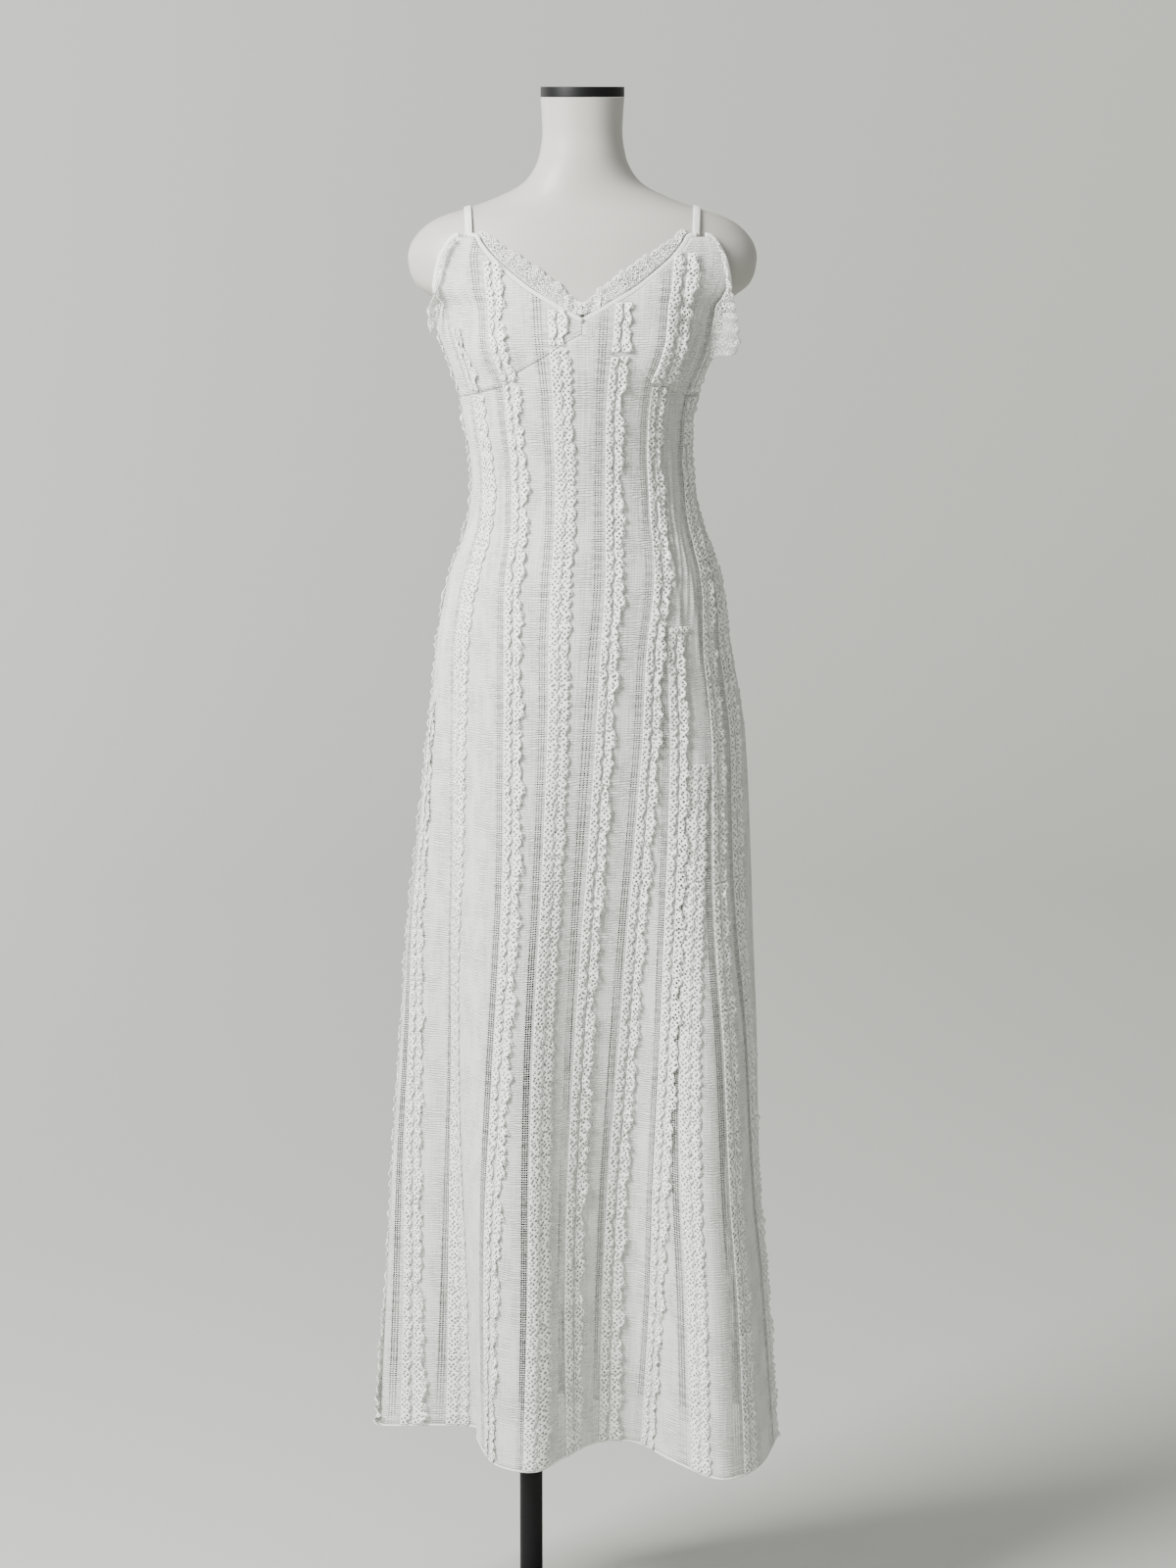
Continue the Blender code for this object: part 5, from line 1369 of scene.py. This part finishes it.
class DRESS_OT_edge_lace(bpy.types.Operator):
    """Makes the lace that stands up behind the neckline and falls outward at the armholes"""

    bl_idname = "dress.make_edge_lace"
    bl_label = "Neck and Armhole Lace"

    def execute(self, context):
        settings = context.scene.dress_lace
        across = np.linspace(0, 1, 9)
        for name, side, phase in (("neck_lace_left", -1, 0.4), ("neck_lace_right", 1, 1.9)):
            self.add(name, [name], across, *self.neck_lace(settings, across, side, phase))
        for name, side, edge, root, crimp, phase in (
            ("armhole_lace_left", -1, ARMHOLE_EDGE_LEFT, ARMHOLE_FOOT_LEFT, 0.0009, 0.5),
            ("armhole_lace_right", 1, ARMHOLE_EDGE_RIGHT, ARMHOLE_FOOT_RIGHT, 0.0016, 1.2),
        ):
            arrays = self.armhole_lace(settings, across, side, edge, root, crimp, phase)
            self.add(name, [name], across, *arrays)
        self.add("neck_lace_fold", [], across, *self.fold(settings, across))
        return {"FINISHED"}

    def neck_lace(self, settings, across, side, phase):
        rings, aim, off = binding_rings(side * np.linspace(0.004, NECK_PEAK, 240))
        foot = rings.mean(axis=1) + off * (BINDING_WIDTH / 2 - 0.0006)
        along = lengths_along(foot)
        rise = np.sin(np.pi * (0.12 + 0.88 * along / along[-1]))
        sway = wave(along, 0.031, phase) + 0.5 * wave(along, 0.017, 2 * phase)
        gather = wave(along, 0.0085, 0.8 * sway + phase)
        width = NECK_LACE_WIDTH * (0.12 + 0.76 * rise) + 0.0013 * sway + 0.0024 * scallops(along, 0.0115)
        flat = foot[:, None] + off[:, None] * (width[:, None] * across[None, :])[..., None]
        lean = 0.0010 * (1 + sway[:, None]) + 0.00035 * (1 + gather[:, None])
        off_form = 0.0011 + 0.0026 * (1 - across[None, :]) ** 2 + lean * across[None, :]
        x, y, z = np.moveaxis(flat, -1, 0)
        grow = (form_reach(x, y, z) + off_form) / np.hypot(x, y)
        inner = np.stack((side * np.maximum(side * x * grow, 0.0006), y * grow, z), axis=-1)
        return inner + aim[:, None] * settings.thickness, inner, width, along

    def armhole_lace(self, settings, across, side, edge, root, crimp, phase):
        share = np.linspace(0, 1, 200)
        turns, heights = (curve(rows, share) for rows in table_curves(root))
        aside, levels = (curve(rows, share) for rows in table_curves(edge))
        foot, aim = draped_points(side * turns, heights)
        foot = foot + aim * 0.0030
        along = lengths_along(foot)
        span = np.stack((side * aside, foot[:, 1] - 0.004, levels), axis=-1) - foot
        reach = np.linalg.norm(span, axis=-1)
        sway = wave(along, 0.043, phase)
        gather = wave(along, 0.0125, 1.2 * sway + phase)
        frill = 0.0034 * (scallops(along, 0.0115) - 0.5) / np.maximum(reach, 0.004)
        span = span * (1 + frill[:, None])
        skin = unit(np.cross(unit(np.gradient(foot, axis=0)), unit(span)))
        skin = np.where(skin[:, 1:2] > 0, -skin, skin)
        bow = crimp * (gather + 0.8 * sway)[:, None] * across[None, :] * np.minimum(1, reach / 0.02)[:, None]
        bow = bow + 0.0024 * np.sin(np.pi * across)[None, :]
        outer = foot[:, None] + span[:, None] * across[None, :, None] + skin[:, None] * bow[..., None]
        width = np.linalg.norm(outer[:, -1] - outer[:, 0], axis=-1)
        return outer, outer - skin[:, None] * settings.thickness, width, along

    def fold(self, settings, across):
        """The folded end of the neckline's lace, which stands up inside the point of the V."""
        along = np.linspace(0, 0.021, 30)
        x = -0.0095 + along * 0.92
        low = 1.4845 + 0.45 * np.abs(x + 0.001)
        tall = 0.0165 + 0.0035 * np.sin(np.pi * along / 0.007) - 0.25 * np.abs(x + 0.002)
        z = low[:, None] + tall[:, None] * across[None, :]
        y = -np.full_like(z, 0.05)
        wide = np.repeat(x[:, None], len(across), axis=1) * (1 + 0.18 * across[None, :])
        reach = form_reach(wide, y, z) + 0.0042
        reach = reach + 0.0014 * wave(along, 0.0105, 0.6)[:, None] * (0.4 + across[None, :])
        grow = reach / np.hypot(wide, y)
        outer = np.stack((wide * grow, y * grow, z), axis=-1)
        return outer, outer + np.array([0, settings.thickness, 0]), tall, along

    def add(self, name, nodes, across, outer, inner, width, along):
        points, faces, maps = shell_arrays(outer, inner, lace_maps(width, along, across))
        piece = outward(mesh_object(name + "_net", points, faces, "sheer cotton net", maps))
        carried(piece, "cotton_lace", *nodes)


class DRESS_OT_sewing(bpy.types.Operator):
    """Sews the rolled hem and the stitches of the hem, the bindings and the seam under the cups"""

    bl_idname = "dress.make_sewing"
    bl_label = "Sewing"

    def execute(self, context):
        settings = context.scene.dress_sewing
        sizes = {
            "Spacing": settings.spacing, "Length": settings.length, "Radius": settings.radius,
            "Seed": settings.seed,
        }
        around = np.linspace(-0.25, 0.75, 620, endpoint=False)
        hem, aim = draped_points(around, np.full_like(around, HEM + 0.0008))
        path = path_object("rolled_hem", [hem - aim * 0.0003], closed=True)
        roll = grown(path, cord_tree(), {"Radius": 0.0012, "Sides": 8}, "cotton bias tape")
        carried(roll, "cotton_binding")
        above, aim = draped_points(around, np.full_like(around, HEM + 0.0075))
        rows = {"hem_stitches": [above + aim * 0.0001]}
        turns = np.linspace(-0.249, 0.249, 400)
        cup, aim = draped_points(turns, cup_seam(turns) + 0.0030)
        rows["bust_seam_stitches"] = [cup + aim * 0.0010]
        rows["binding_stitches"] = []
        for first, last in (
            (-0.003, -NECK_PEAK), (0.003, NECK_PEAK), (-ARM_PEAK, -0.249), (ARM_PEAK, 0.249), (0.252, 0.748)):
            rings, aim, off = binding_rings(np.linspace(first, last, 200))
            seam = rings.mean(axis=1) - off * 0.0016 + aim * (BINDING_THICKNESS / 2 * 0.93)
            rows["binding_stitches"].append(seam)
        stitches = stitch_tree()
        for name, paths in rows.items():
            piece = grown(path_object(name, paths), stitches, sizes, "spun sewing thread")
            carried(piece, "cotton_lace")
        return {"FINISHED"}


class DRESS_OT_facts(bpy.types.Operator):
    """Gathers the names of the lace and the sewing on each sheet of cloth, and states nothing"""

    bl_idname = "dress.state_cloth"
    bl_label = "Cloth Facts"

    def execute(self, context):
        stitches = {
            "front_gauze_centre": ("rolled_hem", "hem_stitches"),
            "cup_gauze_left": ("bust_seam_stitches", "neck_lace_fold_net"),
            "cup_gauze_right": ("binding_stitches",),
            "back_gauze_inner_right": ("back_binding_tape",),
        }
        for name, flat, area, hangs_from, numbers in CLOTH_CUT:
            cup = name.startswith("cup")
            lace = [("cup_" if cup else "") + f"ruffle_{number:02d}_lace" for number in numbers]
            if cup:
                side = name.rsplit("_", 1)[1]
                lace += [f"{part}_{side}_net" for part in ("neck_lace", "armhole_lace")]
                lace += [f"{part}_{side}_tape" for part in ("neck_binding", "armhole_binding", "strap")]
            lace += stitches.get(name, ())
        return {"FINISHED"}


class DRESS_PT_panel(bpy.types.Panel):
    """Lists the pieces of the dress and their sizes"""

    bl_idname = "DRESS_PT_panel"
    bl_label = "Lace Camisole Dress"
    bl_space_type = "VIEW_3D"
    bl_region_type = "UI"
    bl_category = "Dress"

    def draw(self, context):
        column = self.layout.column(align=True)
        for maker in MAKERS:
            column.operator(maker.bl_idname)
        for group, names in PANEL_ROWS:
            box = self.layout.box()
            for name in names:
                box.prop(getattr(context.scene, group), name)


PANEL_ROWS = (
    ("dress_gauze", ("colour", "thickness", "rib", "crinkle", "ladder")),
    ("dress_lace", ("colour", "scallop", "mesh", "thickness")),
    ("dress_sewing", ("spacing", "length", "radius", "seed")),
    ("dress_stand", ("shell", "enamel")),
    ("dress_stage", ("backdrop", "key", "fill")),
)
GROUPS = {
    "dress_gauze": GauzeSettings,
    "dress_lace": LaceSettings,
    "dress_sewing": SewingSettings,
    "dress_stand": StandSettings,
    "dress_stage": StageSettings,
}
MAKERS = (
    DRESS_OT_stage, DRESS_OT_form, DRESS_OT_stand, DRESS_OT_gauze, DRESS_OT_ruffles, DRESS_OT_bindings,
    DRESS_OT_edge_lace, DRESS_OT_sewing, DRESS_OT_facts,
)


def register():
    for name, group in GROUPS.items():
        bpy.utils.register_class(group)
        setattr(bpy.types.Scene, name, PointerProperty(type=group))
    for maker in MAKERS + (DRESS_PT_panel,):
        bpy.utils.register_class(maker)


def unregister():
    for maker in (DRESS_PT_panel,) + MAKERS[::-1]:
        bpy.utils.unregister_class(maker)
    for name, group in GROUPS.items():
        delattr(bpy.types.Scene, name)
        bpy.utils.unregister_class(group)


def main():
    register()
    bpy.ops.dress.make_stage()
    bpy.ops.dress.make_form()
    bpy.ops.dress.make_stand()
    bpy.ops.dress.make_gauze()
    bpy.ops.dress.make_ruffles()
    bpy.ops.dress.make_bindings()
    bpy.ops.dress.make_edge_lace()
    bpy.ops.dress.make_sewing()
    bpy.ops.dress.state_cloth()


if __name__ == "__main__":
    main()
